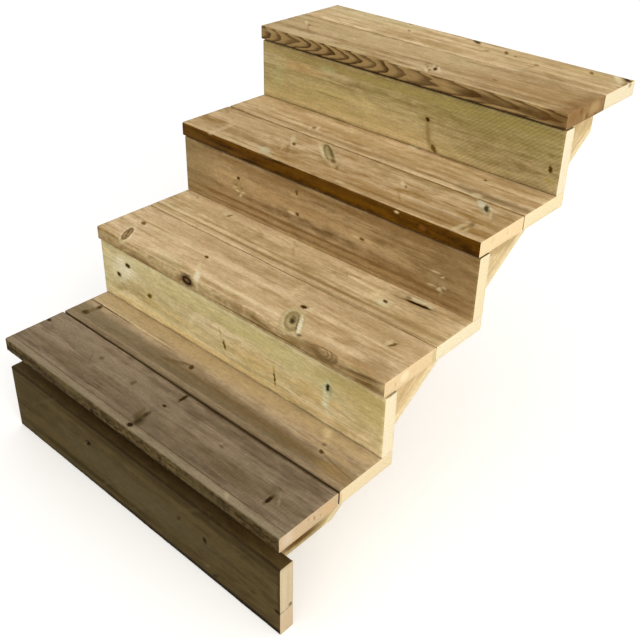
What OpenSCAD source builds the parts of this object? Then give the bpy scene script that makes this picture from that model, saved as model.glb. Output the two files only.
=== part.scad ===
// Outdoor timber staircase: four two-board treads with closed risers on two sawtooth stringers
// +X runs to the right seen from the front, +Y runs up the flight into the wall, +Z is up
// The origin lies on the plumb-cut end of the left stringer, the face that meets the wall

/* [Flight] */
// Length of every tread and riser board, which is the width of the stair
stair_w = 820; // [600:5:900]
// Height of the top tread above the stringers' feet, shared by the four steps
total_rise = 692; // [660:4:720]
// Going from the first riser line to the face of the last riser
total_going = 771; // [735:3:825]

/* [Boards] */
// Thickness of the tread and riser boards
board_t = 32; // [28:1:36]
// Radius of the planed long arrises
arris_r = 2.5; // [1.5:0.5:4]
// Nosing of a tread in front of its riser
nosing = 6; // [5:1:12]
// Open joint between the two boards of a tread
tread_joint = 3; // [2:1:8]
// Open joint between the top of a riser and the tread above
riser_joint = 4; // [3:1:8]
// Width of the rear board of the top tread, ripped to fit against the wall
top_rear_w = 127; // [110:1:145]

/* [First riser] */
// Height of the first riser board
first_riser_h = 162; // [145:1:170]
// Open gap between the first riser and the first tread
first_riser_joint = 43; // [30:1:50]
// Distance of the first riser's face in front of the riser line
first_riser_forward = 4; // [1:1:5]

/* [Stringers] */
// Thickness of a stringer plank
stringer_t = 45; // [40:1:60]
// Width of the plank that a stringer is cut from
stringer_w = 220; // [210:1:245]
// Distance of a stringer's outer face from the tread ends
stringer_inset = 77; // [50:1:110]
// Radius of a stringer's lower arrises
stringer_arris_r = 3; // [2:0.5:5]

/* [Hidden] */
steps = 4;
step_rise = total_rise / steps;
step_going = total_going / (steps - 1);
// Spare stock above the sawtooth tips and past both ends of a plank
stock_over = 20;
stock_end = 120;
// Height from the origin up to the underside of the top tread
origin_drop = 50;
arc_n = 48;

slope = atan(step_rise / step_going);
board_w = (step_going + board_t + nosing - tread_joint) / 2;
riser_h = step_rise - board_t - riser_joint;
// Front and rear plumb cuts of the stringers
front_y = board_t - first_riser_forward;
back_y = (steps - 1) * step_going - nosing + board_w + tread_joint + top_rear_w;
// Stock left below the notches, square to the slope
throat = stringer_w - step_rise * cos(slope);
// Height of a stringer's lower edge where it crosses y = 0
lower_z = -board_t * (1 + step_rise / step_going) - throat / cos(slope);
plank_l = (back_y + 2 * stock_end) / cos(slope);
left_x = stringer_inset;
right_x = stair_w - stringer_inset - stringer_t;
origin = [left_x + stringer_t / 2, back_y, steps * step_rise - board_t - origin_drop];

tread_color = [0.66, 0.53, 0.36];
riser_color = [0.58, 0.52, 0.33];
stringer_color = [0.80, 0.68, 0.47];

// Cross-section of a planed plank, w wide and h high, with round arrises of radius r
module plank_section(w, h, r) {
  translate([r, 0])
    square([w - 2 * r, h]);
  translate([0, r])
    square([w, h - 2 * r]);
  for (px = [r, w - r])
    for (py = [r, h - r])
      translate([px, py])
        circle(r = r, $fn = arc_n);
}

// Board lying along X over the full width, w deep along Y and h high
module board(y, z, w, h) {
  translate(-origin)
    translate([0, y, z])
      rotate([90, 0, 90])
        linear_extrude(stair_w)
          plank_section(w, h, arris_r);
}

module front_board(k) {
  color(tread_color)
    board((k - 1) * step_going - nosing, k * step_rise - board_t, board_w, board_t);
}

module rear_board(k, w) {
  rear_y = (k - 1) * step_going - nosing + board_w + tread_joint;
  color(tread_color)
    board(rear_y, k * step_rise - board_t, w, board_t);
}

// Risers stand on the rear board of the tread below, flush with its rear edge
module riser(k) {
  color(riser_color)
    board((k - 1) * step_going, (k - 1) * step_rise, board_t, riser_h);
}

// Side outline: level foot, plumb front end, one notch for each step, plumb wall end
module sawtooth() {
  polygon([
    [front_y, 0],
    [front_y, step_rise - board_t],
    [step_going + board_t, step_rise - board_t],
    [step_going + board_t, 2 * step_rise - board_t],
    [2 * step_going + board_t, 2 * step_rise - board_t],
    [2 * step_going + board_t, 3 * step_rise - board_t],
    [3 * step_going + board_t, 3 * step_rise - board_t],
    [3 * step_going + board_t, 4 * step_rise - board_t],
    [back_y, 4 * step_rise - board_t],
    [back_y, 0]
  ]);
}

// Straight sloping plank whose lower edge becomes the stringer's lower edge
module sloping_plank() {
  translate([0, -stock_end, lower_z - stock_end * step_rise / step_going])
    rotate([slope, 0, 0])
      translate([0, plank_l, 0])
        rotate([90, 0, 0])
          linear_extrude(plank_l)
            plank_section(stringer_t, stringer_w + stock_over, stringer_arris_r);
}

module stringer(x) {
  color(stringer_color)
    translate(-origin)
      translate([x, 0, 0])
        intersection() {
          rotate([90, 0, 90])
            linear_extrude(stringer_t)
              sawtooth();
          sloping_plank();
        }
}

module tread_1_front_board() front_board(1);
module tread_1_rear_board() rear_board(1, board_w);
module tread_2_front_board() front_board(2);
module tread_2_rear_board() rear_board(2, board_w);
module tread_3_front_board() front_board(3);
module tread_3_rear_board() rear_board(3, board_w);
module tread_4_front_board() front_board(4);
module tread_4_rear_board() rear_board(4, top_rear_w);

// The first riser is nailed to the front ends of the stringers and reaches below their feet
module riser_1() {
  top_z = step_rise - board_t - first_riser_joint;
  color(riser_color)
    board(-first_riser_forward, top_z - first_riser_h, board_t, first_riser_h);
}

module riser_2() riser(2);
module riser_3() riser(3);
module riser_4() riser(4);
module left_stringer() stringer(left_x);
module right_stringer() stringer(right_x);

tread_1_front_board();
tread_1_rear_board();
tread_2_front_board();
tread_2_rear_board();
tread_3_front_board();
tread_3_rear_board();
tread_4_front_board();
tread_4_rear_board();
riser_1();
riser_2();
riser_3();
riser_4();
left_stringer();
right_stringer();
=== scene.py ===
# %% [markdown]
# # Outdoor timber staircase: the looks
#
# The solid model gives every plank its true size and place. This lesson dresses those planks in
# Blender: it saws each one again as a finer mesh with eased arrises, knots and drying checks, and
# gives it pressure-treated pine that is worked out from how a tree grows. The solid planks stay
# behind for physics, and each dressed plank stands for one of them.

# %% Load the solid model as a fixed frame
import math

import bmesh
import bpy
import numpy as np
from mathutils import Matrix, Vector, noise


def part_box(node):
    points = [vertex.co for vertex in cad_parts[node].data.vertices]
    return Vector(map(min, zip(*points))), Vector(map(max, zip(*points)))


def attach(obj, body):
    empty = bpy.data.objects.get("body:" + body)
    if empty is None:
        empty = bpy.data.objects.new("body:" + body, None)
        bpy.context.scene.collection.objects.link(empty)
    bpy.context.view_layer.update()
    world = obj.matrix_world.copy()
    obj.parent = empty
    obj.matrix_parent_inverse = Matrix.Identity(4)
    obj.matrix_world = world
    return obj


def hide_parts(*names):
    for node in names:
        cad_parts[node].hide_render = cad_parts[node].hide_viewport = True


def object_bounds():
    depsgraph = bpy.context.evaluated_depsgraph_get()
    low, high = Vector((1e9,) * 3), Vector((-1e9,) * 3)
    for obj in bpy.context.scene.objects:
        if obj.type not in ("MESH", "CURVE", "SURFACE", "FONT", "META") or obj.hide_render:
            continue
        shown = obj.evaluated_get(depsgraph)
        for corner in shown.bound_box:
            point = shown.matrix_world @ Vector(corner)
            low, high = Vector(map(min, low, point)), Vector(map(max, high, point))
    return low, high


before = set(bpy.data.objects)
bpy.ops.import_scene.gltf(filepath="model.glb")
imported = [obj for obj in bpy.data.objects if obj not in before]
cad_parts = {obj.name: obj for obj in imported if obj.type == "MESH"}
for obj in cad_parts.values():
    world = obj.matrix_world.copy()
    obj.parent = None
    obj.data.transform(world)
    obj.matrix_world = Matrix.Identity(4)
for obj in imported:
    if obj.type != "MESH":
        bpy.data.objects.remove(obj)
cad_low, cad_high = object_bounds()
MM = 0.001
print("solid model, metres:", [round(v, 3) for v in cad_high - cad_low])

# %% [markdown]
# ## Colour
# Wood colours are easiest to judge as the sRGB hex values of a colour picker. Blender's shaders
# count in linear light, so one function does the turning, and every colour below goes through it.


# %% One function from sRGB hex to linear
def linear(hex_colour):
    """The linear colour, with full alpha, of an sRGB hex value."""
    values = [int(hex_colour[i:i + 2], 16) / 255 for i in (1, 3, 5)]
    return tuple(v / 12.92 if v <= 0.04045 else ((v + 0.055) / 1.055) ** 2.4 for v in values) + (1.0,)


print("mid pine in linear light:", [round(v, 3) for v in linear("#B89B6E")])

# %% [markdown]
# ## A sawn plank as a mesh
# A planed plank isn't a plain box. Its long arrises are rounded by the planer knives, its sawn ends
# have only the fibres knocked off, and it has opened in fine checks where it dried. A bevel modifier
# could round a cube, but it gives no place for the knots and checks. So the plank is a fine grid
# wrapped on a box: each grid point near an edge is pulled onto an ellipse-shaped arris, and the rest
# stay on the flat faces, ready to be pressed in a little where the real wood has sunk.

# %% Grid stations along one side of a plank
GRID = 5.5          # spacing of the grid, mm
ARRIS = 2.5         # radius of the long arrises, mm
END_EASE = 0.8      # how far the sawn ends are eased, mm
ARC = (30, 12)      # where the inner grid lines of an arris lie on its round, degrees
CHECK_LIP = 0.55    # from the middle line of a check to its lips, mm
CHECK_CLEAR = 1.4   # a grid line closer to a check than this gives way to it, mm


def stations(length, ease, spacing, extra=()):
    """Positions along a side: close together in the rounded ends, even between, and at the extras."""
    count = max(1, round((length - 2 * ease) / spacing))
    flat = [ease + (length - 2 * ease) * i / count for i in range(count + 1)]
    flat = [v for v in flat if all(abs(v - e) > CHECK_CLEAR for e in extra)]
    lips = [m for e in extra for m in (e - CHECK_LIP, e, e + CHECK_LIP)]
    curve = [0.0] + [ease * (1 - math.tan(math.radians(angle))) for angle in ARC]
    return sorted(set(curve + flat + lips + [length - v for v in curve]))


print("stations across a 145 mm board:", len(stations(145, ARRIS, GRID)))


# %% Wrap the grid on a box and round its edges
def plank_points(size, checks):
    """Grid points and faces of a plank, mm. size is length, width, thickness."""
    length, width, thick = size
    xs = stations(length, END_EASE, GRID)
    ys = stations(width, ARRIS, GRID, [check["y"] for check in checks])
    zs = stations(thick, ARRIS, GRID)
    number = {}
    points = []

    def point(i, j, k):
        if (i, j, k) not in number:
            number[i, j, k] = len(points)
            points.append((xs[i], ys[j], zs[k]))
        return number[i, j, k]

    faces = []
    last = (len(xs) - 1, len(ys) - 1, len(zs) - 1)
    for i in range(last[0]):
        for j in range(last[1]):
            faces.append((point(i, j, 0), point(i, j + 1, 0), point(i + 1, j + 1, 0), point(i + 1, j, 0)))
            k = last[2]
            faces.append((point(i, j, k), point(i + 1, j, k), point(i + 1, j + 1, k), point(i, j + 1, k)))
        for k in range(last[2]):
            faces.append((point(i, 0, k), point(i + 1, 0, k), point(i + 1, 0, k + 1), point(i, 0, k + 1)))
            j = last[1]
            faces.append((point(i, j, k), point(i, j, k + 1), point(i + 1, j, k + 1), point(i + 1, j, k)))
    for j in range(last[1]):
        for k in range(last[2]):
            faces.append((point(0, j, k), point(0, j, k + 1), point(0, j + 1, k + 1), point(0, j + 1, k)))
            i = last[0]
            faces.append((point(i, j, k), point(i, j + 1, k), point(i, j + 1, k + 1), point(i, j, k + 1)))
    return np.array(points), faces


def ease_edges(points, size, radii):
    """Pulls the points near an edge onto an arris whose three radii are given, mm."""
    half = np.array(size) / 2
    middle = points - half
    inner = np.clip(middle, -half + radii, half - radii)
    out = (middle - inner) / radii
    long = np.linalg.norm(out, axis=1, keepdims=True)
    normal = np.where(long > 0, out / np.maximum(long, 1e-9), 0)
    return inner + normal * radii + half, normal


test_points, test_faces = plank_points((820, 145, 32), [])
print("one tread board:", len(test_points), "points,", len(test_faces), "faces")

# %% [markdown]
# ## What happened to the plank
# Four things mark the surface of a real board. The planer leaves it very slightly uneven, and use
# wears its arrises. A knot is harder than the wood round it, so it sinks by a few tenths of a
# millimetre and has a dip at its rim. A check is a split along the grain, open at the end of the
# board and dying out along it. A sculpting tool could press them in by hand. A formula is sure to
# move every point inward only, so the plank never grows past its true size.

# %% Press knots, checks and wear into the grid
KNOTS = ("pin", "oval", "hole")   # the marks that are knots in the wood, not stains on it
UNEVEN = 0.12                     # the planer's unevenness, and as much again of mean depth, mm
UNEVEN_LONG = 55                  # over what length it comes and goes, mm
WORN = 0.25                       # how far a worn arris is set back, mm
WORN_SWING = (0.5, 0.4)           # how much that changes, quickly and slowly along the arris, mm
WORN_LONG = 6                     # over what length the quick change comes and goes, mm
RIM_DEEP = 0.45                   # dip at the rim of a knot, mm
RIM_WIDE = 0.3                    # how wide that dip is, in radii of the knot
HOLE_DEEP = 0.6                   # a dead knot has sunk, mm
SOUND_DEEP = 0.1                  # a sound knot hardly, mm
SUNK_WIDE = 0.7                   # how wide the sunk middle is, in radii of the knot


def press(points, normal, plank):
    """Moves the grid points inward: uneven planing, sunk knot rims, worn arrises, checks."""
    # each plank has waves of its own
    shift = Vector((plank["seed"] * 37.0, 0, 0))
    slow = np.array([noise.noise(Vector(p) / UNEVEN_LONG + shift) for p in points])
    quick = np.array([noise.noise(Vector(p) / WORN_LONG + shift) for p in points])
    # a point on an arris looks two ways at once
    on_arris = (np.abs(normal) > 0.2).sum(axis=1) >= 2
    depth = UNEVEN + UNEVEN * slow
    depth = depth + on_arris * np.clip(WORN + WORN_SWING[0] * quick + WORN_SWING[1] * slow, 0, None)
    for mark in plank["marks"]:
        if mark["kind"] in KNOTS:
            turn = math.radians(mark["turn"])
            dx, dy = points[:, 0] - mark["x"], points[:, 1] - mark["y"]
            along = (dx * math.cos(turn) + dy * math.sin(turn)) / mark["long"]
            across = (dy * math.cos(turn) - dx * math.sin(turn)) / mark["wide"]
            distance = np.hypot(along, across)
            depth = depth + RIM_DEEP * np.exp(-((distance - 1.0) / RIM_WIDE) ** 2)
            sunk = HOLE_DEEP if mark["kind"] == "hole" else SOUND_DEEP
            depth = depth + sunk * np.exp(-(distance / SUNK_WIDE) ** 2)
    for check in plank["checks"]:
        on_line = (np.abs(points[:, 1] - check["y"]) < 0.1) & (normal[:, 2] > 0.5)
        reach = np.clip(1 - np.abs(points[:, 0] - check["x"]) / check["long"], 0, 1)
        depth = depth + on_line * check["deep"] * np.sqrt(reach)
    return points - normal * depth[:, None]


print("knot rims are pressed in by", RIM_DEEP, "mm, dead knots by", HOLE_DEEP, "mm")

# %% [markdown]
# ## Wood that grew
# Grain isn't a picture laid on the board. A trunk is a stack of cones, one for each year, and the saw
# cuts through them, so the same rings show as arcs on the ends, as straight lines on the edges and
# as long arches on the face. The material below works the same way: it takes the distance of each
# point from the heart of the tree, which runs nearly along the plank, divides it by the width of a
# year ring, and colours the pale spring wood and the dark summer wood in each ring. A branch pushes
# the rings aside, so they flow round each knot.

# %% One small function that adds a node
MATH = "ShaderNodeMath"
VECTOR = "ShaderNodeVectorMath"
MIX = "ShaderNodeMix"
RANGE = "ShaderNodeMapRange"
MAPPING = "ShaderNodeMapping"
NOISE = "ShaderNodeTexNoise"
RAMP = "ShaderNodeValToRGB"
GROUP = "ShaderNodeGroup"
SPLIT = "ShaderNodeSeparateXYZ"
COLOUR = dict(data_type="RGBA")
SMOOTH = dict(interpolation_type="SMOOTHSTEP")


def fill(tree, node, given):
    """Fills or links the inputs of a node, by name or by number among those in use. A given value
    may be another node, and then the first output in use is taken."""
    in_use = [socket for socket in node.inputs if socket.enabled]
    for key, value in given.items():
        socket = node.inputs[key] if isinstance(key, str) else in_use[key]
        if isinstance(value, bpy.types.Node):
            value = next(out for out in value.outputs if out.enabled)
        if isinstance(value, bpy.types.NodeSocket):
            tree.links.new(value, socket)
        else:
            socket.default_value = value
    return node


def add(tree, kind, *values, **settings):
    """Adds a node, sets it, and fills its inputs: in order, or by name from one dictionary."""
    made = tree.nodes.new(kind)
    for key, value in settings.items():
        setattr(made, key, value)
    by_name = values and isinstance(values[0], dict)
    return fill(tree, made, values[0] if by_name else dict(enumerate(values)))


def streaks(tree, place, sizes, detail=2.0, shift=0.0):
    """Noise stretched to streaks of given sizes along x, y and z, mm. Another shift gives others."""
    scaled = add(tree, VECTOR, place, [1 / s for s in sizes], (shift, 0, shift), operation="MULTIPLY_ADD")
    return add(tree, NOISE, {"Vector": scaled, "Scale": 1.0, "Detail": detail, "Roughness": 0.55})


def shaken(tree, place, waves, throw):
    """A place thrown about by the colour of some waves, by half of each throw either way, mm."""
    swing = add(tree, VECTOR, waves.outputs["Color"], (0.5, 0.5, 0.5), operation="SUBTRACT")
    return add(tree, VECTOR, swing, throw, place, operation="MULTIPLY_ADD")


print("ready: fill, add, streaks, shaken")

# %% [markdown]
# ## Knots, stains and painted shade
# A knot is the foot of a branch. Cut square it is a dark spot, cut at a slant it is a long oval with
# its own rings, and round it the wood is paler and full of resin. All of these, the stains that
# weather and the treatment leave, and the shade and light painted where the steps overhang one
# another, are ovals with a colour and a cover that change from the middle to the rim, so one list
# of stops for each kind draws them all.

# %% Kinds of mark, as stops of distance, tone and cover
REACH = 2.6       # the last stop a mark may have, in radii
FACE = 32.0       # height of a board's best face above its back, mm
RIGHT = round((cad_high[0] - cad_low[0]) / MM)   # a board's right sawn end, mm from its left one
KNOT_DEEP = 60.0  # a knot goes right through a board, mm
STAIN_DEEP = 5.0  # a stain doesn't, mm
KINDS = {
    # a small branch cut square: dark heart, brown bark ring, pale wood round it
    "pin": [(0.0, "core", 1.0), (0.6, "core", 0.9), (1.0, "body", 0.6), (1.35, "halo", 0.45),
            (2.4, "halo", 0.0)],
    # a live branch cut at a slant: its own wood, a thin dark rim, then a pale ring
    "oval": [(0.0, "body", 0.85), (0.6, "body", 0.75), (0.82, "core", 0.8), (0.97, "core", 0.8),
             (1.2, "halo", 0.6), (1.8, "halo", 0.0)],
    # a dead branch or an open split: almost black, no pale wood
    "hole": [(0.0, "core", 1.0), (0.7, "core", 1.0), (1.0, "body", 0.6), (1.4, "body", 0.0)],
    # a shadowy knot under the surface
    "smudge": [(0.0, "body", 0.85), (0.5, "body", 0.6), (1.4, "body", 0.0)],
    # a soft patch of another tone
    "stain_and_shade": [(0.0, "own", 1.0), (0.4, "own", 0.85), (1.5, "own", 0.0)],
    # one year's dark line round a big knot
    "ring": [(0.0, "own", 0.0), (0.72, "own", 0.0), (0.88, "own", 0.8), (1.0, "own", 0.8),
             (1.2, "own", 0.0)],
}


def knot(x, y, long=6.0, wide=4.0, turn=0.0, kind="pin", **more):
    """A knot at a place on the best face, mm, with its half length and half width."""
    return dict(dict(x=x, y=y, z=FACE, long=long, wide=wide, deep=KNOT_DEEP, turn=turn, kind=kind), **more)


def stain_and_shade(x, y, long, wide, own, cover=0.6, turn=0.0, **more):
    """A soft patch of another tone, near the best face. It draws real stains and painted shade alike."""
    return dict(dict(x=x, y=y, z=FACE, long=long, wide=wide, deep=STAIN_DEEP, turn=turn, own=own,
                     cover=cover, kind="stain_and_shade"), **more)


def ring(x, y, long, wide, own, cover=0.6, turn=0.0, **more):
    """One dark year line round a knot, near the best face."""
    return stain_and_shade(x, y, long, wide, own, cover, turn, kind="ring", **more)


def edge_patch_and_shade(x, z, long, deep, own, cover=0.6, wide=6, **more):
    """A soft patch on the front edge, at a height above the back. wide is how far it goes in."""
    return stain_and_shade(x, 0, long, wide, own, cover, z=z, deep=deep, **more)


def end_stain(y, z, wide, deep, own, cover=0.6):
    """A soft patch on the right sawn end, at a height above the back."""
    return stain_and_shade(RIGHT, y, 6, wide, own, cover, z=z, deep=deep)


print("kinds of mark:", ", ".join(KINDS))

# %% A node group for each kind of mark
PLACING = [("place", "Vector"), ("middle", "Vector"), ("turn", "Vector"), ("size", "Vector")]


def new_group(name, sockets, result):
    """An empty node group with its inputs and one output. Returns it and its inputs by name."""
    group = bpy.data.node_groups.new(name, "ShaderNodeTree")
    for label, kind in sockets:
        group.interface.new_socket(label, in_out="INPUT", socket_type="NodeSocket" + kind)
    group.interface.new_socket("result", in_out="OUTPUT", socket_type="NodeSocket" + result)
    return group, add(group, "NodeGroupInput").outputs


def oval_distance(group, given):
    """Distance from the middle of an oval, 1 on its rim."""
    inside = add(group, MAPPING, {"Vector": given["place"], "Location": given["middle"],
                                  "Rotation": given["turn"], "Scale": given["size"]},
                 vector_type="TEXTURE")
    return add(group, VECTOR, inside, operation="LENGTH")


def mark_group(kind, stops):
    """Lays a mark over a colour: a ramp picks the tone by its grey and the cover by its alpha."""
    used = [tone for tone in ("core", "body", "halo", "own") if any(tone == stop[1] for stop in stops)]
    group, given = new_group("Mark_" + kind, PLACING + [("under", "Color"), ("cover", "Float")]
                             + [(tone, "Color") for tone in used], "Color")
    picked = add(group, RAMP, oval_distance(group, given))
    ramp = picked.color_ramp
    ramp.interpolation = "EASE"
    while len(ramp.elements) < len(stops):
        ramp.elements.new(0.5)
    for element, (at, tone, cover) in zip(ramp.elements, stops):
        grey = used.index(tone) / max(1, len(used) - 1)
        element.position = at / REACH
        element.color = (grey, grey, grey, cover)
    colour = given[used[0]]
    for i, tone in enumerate(used[1:]):
        share = add(group, MATH, picked.outputs["Color"], float(len(used) - 1), -float(i),
                    operation="MULTIPLY_ADD", use_clamp=True)
        colour = add(group, MIX, share, colour, given[tone], **COLOUR)
    cover = add(group, MATH, picked.outputs["Alpha"], given["cover"], operation="MULTIPLY")
    add(group, "NodeGroupOutput", add(group, MIX, cover, given["under"], colour, **COLOUR))
    return group


def bend_group():
    """Pushes a year ring outward round a knot, most at its middle."""
    group, given = new_group("Ring_round_a_knot", PLACING + [("far", "Float"), ("push", "Float")], "Float")
    near = oval_distance(group, given)
    square = add(group, MATH, near, near, operation="MULTIPLY")
    minus = add(group, MATH, square, -1.0, operation="MULTIPLY")
    bell = add(group, MATH, minus, operation="EXPONENT")
    pushed = add(group, MATH, bell, given["push"], given["far"], operation="MULTIPLY_ADD")
    add(group, "NodeGroupOutput", pushed)
    return group


MARKS = {kind: mark_group(kind, stops) for kind, stops in KINDS.items()}
BEND = bend_group()


def placing(place, mark, long, wide, deep):
    """The inputs that put an oval of the given half sizes, mm, where a mark is."""
    return {"place": place, "middle": (mark["x"], mark["y"], mark["z"]),
            "turn": (0, math.radians(mark.get("tilt", 0.0)), math.radians(mark["turn"])),
            "size": (long, wide, deep)}


def draw_mark(tree, colour, place, mark, tones, lift=1.0):
    """Lays one mark over a colour. Its tones are as seen, and lift allows for a shaded face."""
    values = placing(place, mark, *(REACH * mark[side] for side in ("long", "wide", "deep")))
    values.update(under=colour, cover=mark.get("cover", 1.0))
    for tone in dict.fromkeys(stop[1] for stop in KINDS[mark["kind"]]):
        seen = linear(mark.get(tone) or tones[tone])
        values[tone] = [lift * v for v in seen[:3]] + [1.0]
    return add(tree, GROUP, values, node_tree=MARKS[mark["kind"]])


print("node groups:", ", ".join(group.name for group in bpy.data.node_groups))

# %% [markdown]
# ## Pressure-treated pine, planed
# The finish is one recipe with different numbers for each plank: Scots pine, planed, pressure-treated
# with a copper salt, then left outdoors. The copper gives the sapwood its green cast, the weather
# takes the shine off, and the planer leaves fibres that catch the light. A fibre is only 0.03 mm
# wide and far too fine to show, so the finest streaks are drawn about a millimetre wide.
#
# The recipe is made in steps that can be judged one by one: the year rings, the streaks and clouds,
# the front edge, the marks, the sawn ends, and at last the height that the light catches. What the
# steps share about one plank stands in a dictionary called wood.

# %% Year rings
# how dark the wood is through one year: spring wood, the turn to summer wood, and the sharp stop
YEAR = ((0.0, 0.0), (0.4, 0.15), (0.66, 0.8), (0.92, 1.0), (1.0, 0.05))
UNEVEN_YEARS = 13       # over what distance the rings' width wanders, mm
BENT_LONG = (2.0, 14)   # how far along a knot bends the rings: so many half lengths, and mm
BENT_WIDE = (1.4, 5)    # how far across: so many half widths, and mm
PUSH = (0.8, 3.0)       # how far it pushes them: so many half widths, and mm


def year_rings(tree, place, look, marks):
    """How much dark summer wood there is at a place, 0 to 1, from the distance to the heart."""
    x, y, z = add(tree, SPLIT, place).outputs
    if look["straight"]:
        # past a point the cone narrows more slowly, which stretches the arches
        begin, share = look["straight"]
        slower = add(tree, MATH, x, share, begin * (1 - share), operation="MULTIPLY_ADD")
        x = add(tree, MATH, x, slower, operation="MINIMUM")
    level = add(tree, MATH, x, -look["drift"], y, operation="MULTIPLY_ADD")
    from_y = add(tree, MATH, level, look["heart"][0], operation="SUBTRACT")
    from_z = add(tree, MATH, z, look["heart"][1], operation="SUBTRACT")
    squares = [add(tree, MATH, v, v, operation="MULTIPLY") for v in (from_y, from_z)]
    far = add(tree, MATH, add(tree, MATH, *squares, operation="ADD"), operation="SQRT")
    far = add(tree, MATH, x, look["taper"], far, operation="MULTIPLY_ADD")
    for mark in marks:
        long, wide = mark["long"], mark["wide"]
        values = placing(place, mark, BENT_LONG[0] * long + BENT_LONG[1],
                         BENT_WIDE[0] * wide + BENT_WIDE[1], mark["deep"])
        values.update(far=far, push=PUSH[1] + PUSH[0] * wide)
        far = add(tree, GROUP, values, node_tree=BEND)
    slow = add(tree, MATH, far, 1 / UNEVEN_YEARS, operation="MULTIPLY")
    uneven = add(tree, NOISE, {"W": slow, "Scale": 1.0, "Detail": 1.0}, noise_dimensions="1D")
    even = add(tree, MATH, far, look["ring"], operation="DIVIDE")
    years = add(tree, MATH, uneven, look["uneven"], even, operation="MULTIPLY_ADD")
    year = add(tree, MATH, years, operation="FRACT")
    count = add(tree, MATH, years, operation="FLOOR")
    hard = add(tree, "ShaderNodeTexWhiteNoise", {"W": count}, noise_dimensions="1D")
    made = add(tree, RAMP, year)
    ramp = made.color_ramp
    for element, (at, dark) in zip(ramp.elements, (YEAR[0], YEAR[-1])):
        element.position = at
        element.color = (dark, dark, dark, 1)
    for at, dark in YEAR[1:-1]:
        ramp.elements.new(at).color = (dark, dark, dark, 1)
    share = add(tree, MATH, hard, 1 - look["hard"], look["hard"], operation="MULTIPLY_ADD")
    return add(tree, MATH, made, share, operation="MULTIPLY")


print("one year, from spring to summer:", YEAR)

# %% Streaks, mottling and clouds
# for each kind of wave: its sizes along, across and through the plank, mm, its detail, its own
# shift, whether it follows the bent grain, and the range of the noise that is spread out
WAVES = {
    "band": ((380, 20, 20), 2.0, 1.3, True, (0.36, 0.66)),      # bands of paler and darker wood
    "run": ((150, 7, 7), 2.0, 2.1, True, (0.32, 0.68)),         # streaks as wide as a pencil
    "line": ((110, 2.8, 2.8), 2.0, 5.1, True, (0.3, 0.7)),      # streaks as wide as its lead
    "fibre": ((40, 1.4, 1.4), 2.0, 0.0, True, (0.25, 0.75)),    # bundles of fibres
    "fleck": ((9, 4, 4), 3.0, 8.3, False, (0.3, 0.7)),          # small paler and darker flecks
    "mottle": ((48, 17, 17), 4.0, 6.7, False, (0.3, 0.7)),      # where the wood drank unevenly
    "cloud": ((190, 62, 62), 3.0, 4.3, False, (0.34, 0.66)),    # where the treatment pooled
    "lively": ((230, 40, 40), 1.0, 7.9, False, (0.38, 0.62)),   # where the streaks are strong
    "dirt": ((13, 9, 7), 3.0, 2.9, False, (0.42, 0.62)),        # dirt on a worn edge
    "speck": ((3, 3, 3), 3.0, 1.0, False, (0.3, 0.7)),          # cut fibres on a sawn end
}
LIVELY = (0.25, 1.3)        # the streaks fade to and come back to these shares of their strength
FIBRE_TONES = (0.7, 1.3)    # by how much fibres darken and brighten the wood,
FLECK_TONES = (0.82, 1.18)  # and flecks,
SPECK_TONES = (0.86, 1.1)   # and specks on the sawn ends
FINE_SHARE = 0.5            # how strongly these finest patterns are laid on
WANDER_LONG = ((300, 60, 60), (85, 16, 16))   # the trunk's long and short bends, mm
WANDER_SHORT = 0.22         # how far the short bends go, as a share of the long ones


def bent_place(tree, place, look):
    """A place in the plank, moved as the trunk was bent."""
    grown = place
    for sizes, share in zip(WANDER_LONG, (1, WANDER_SHORT)):
        waves = streaks(tree, place, sizes, 1.0, look["seed"] * 3.7)
        reach = share * look["wander"]
        grown = shaken(tree, grown, waves, (0, reach, reach))
    return grown


def wave(tree, wood, name, low, high):
    """One kind of wave, spread from a low to a high value. It is made when it is first needed."""
    sizes, detail, shift, follows, cut = WAVES[name]
    if name not in wood:
        place = wood["grown"] if follows else wood["place"]
        wood[name] = streaks(tree, place, sizes, detail, wood["look"]["seed"] * shift)
    return add(tree, RANGE, wood[name], *cut, low, high, **SMOOTH)


def grain(tree, wood, shades):
    """The wood's colour between a pale and a dark tone: rings, bands, streaks and mottling."""
    look = wood["look"]
    fine = add(tree, MATH, wave(tree, wood, "run", -look["run"], look["run"]),
               wave(tree, wood, "line", -look["line"], look["line"]), operation="ADD")
    depth = add(tree, MATH, wood["late"], look["grain"], wave(tree, wood, "band", 0.0, look["streak"]),
                operation="MULTIPLY_ADD")
    depth = add(tree, MATH, fine, wave(tree, wood, "lively", *LIVELY), depth, operation="MULTIPLY_ADD")
    depth = add(tree, MATH, depth, wave(tree, wood, "mottle", -look["mottle"], look["mottle"]),
                operation="ADD", use_clamp=True)
    return add(tree, MIX, depth, *(linear(tone) for tone in shades), **COLOUR)


print("kinds of wave:", ", ".join(WAVES))

# %% The front edge, the marks and the sawn ends
DIRT = "#2A1E0A"                    # what collects on a worn front edge
EDGE_WAVE = (90, 20, 20)            # bends of the rings where an edge shows them clearly, mm
EDGE_SWING = 5                      # how far they go, mm
FRAY = ((9, 4, 4), (9, 4, 0))       # sizes and throw of a knot's frayed rim, mm,
RAG = ((34, 11, 11), (70, 24, 0))   # and of a broad stain's ragged rim, mm
BROAD = 11                          # a stain is broad when its half width is more than this, mm,
STRIP = 8                           # and its half length less than so many times that
END_RINGS = 0.4                     # how clearly the rings show on a sawn end


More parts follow.
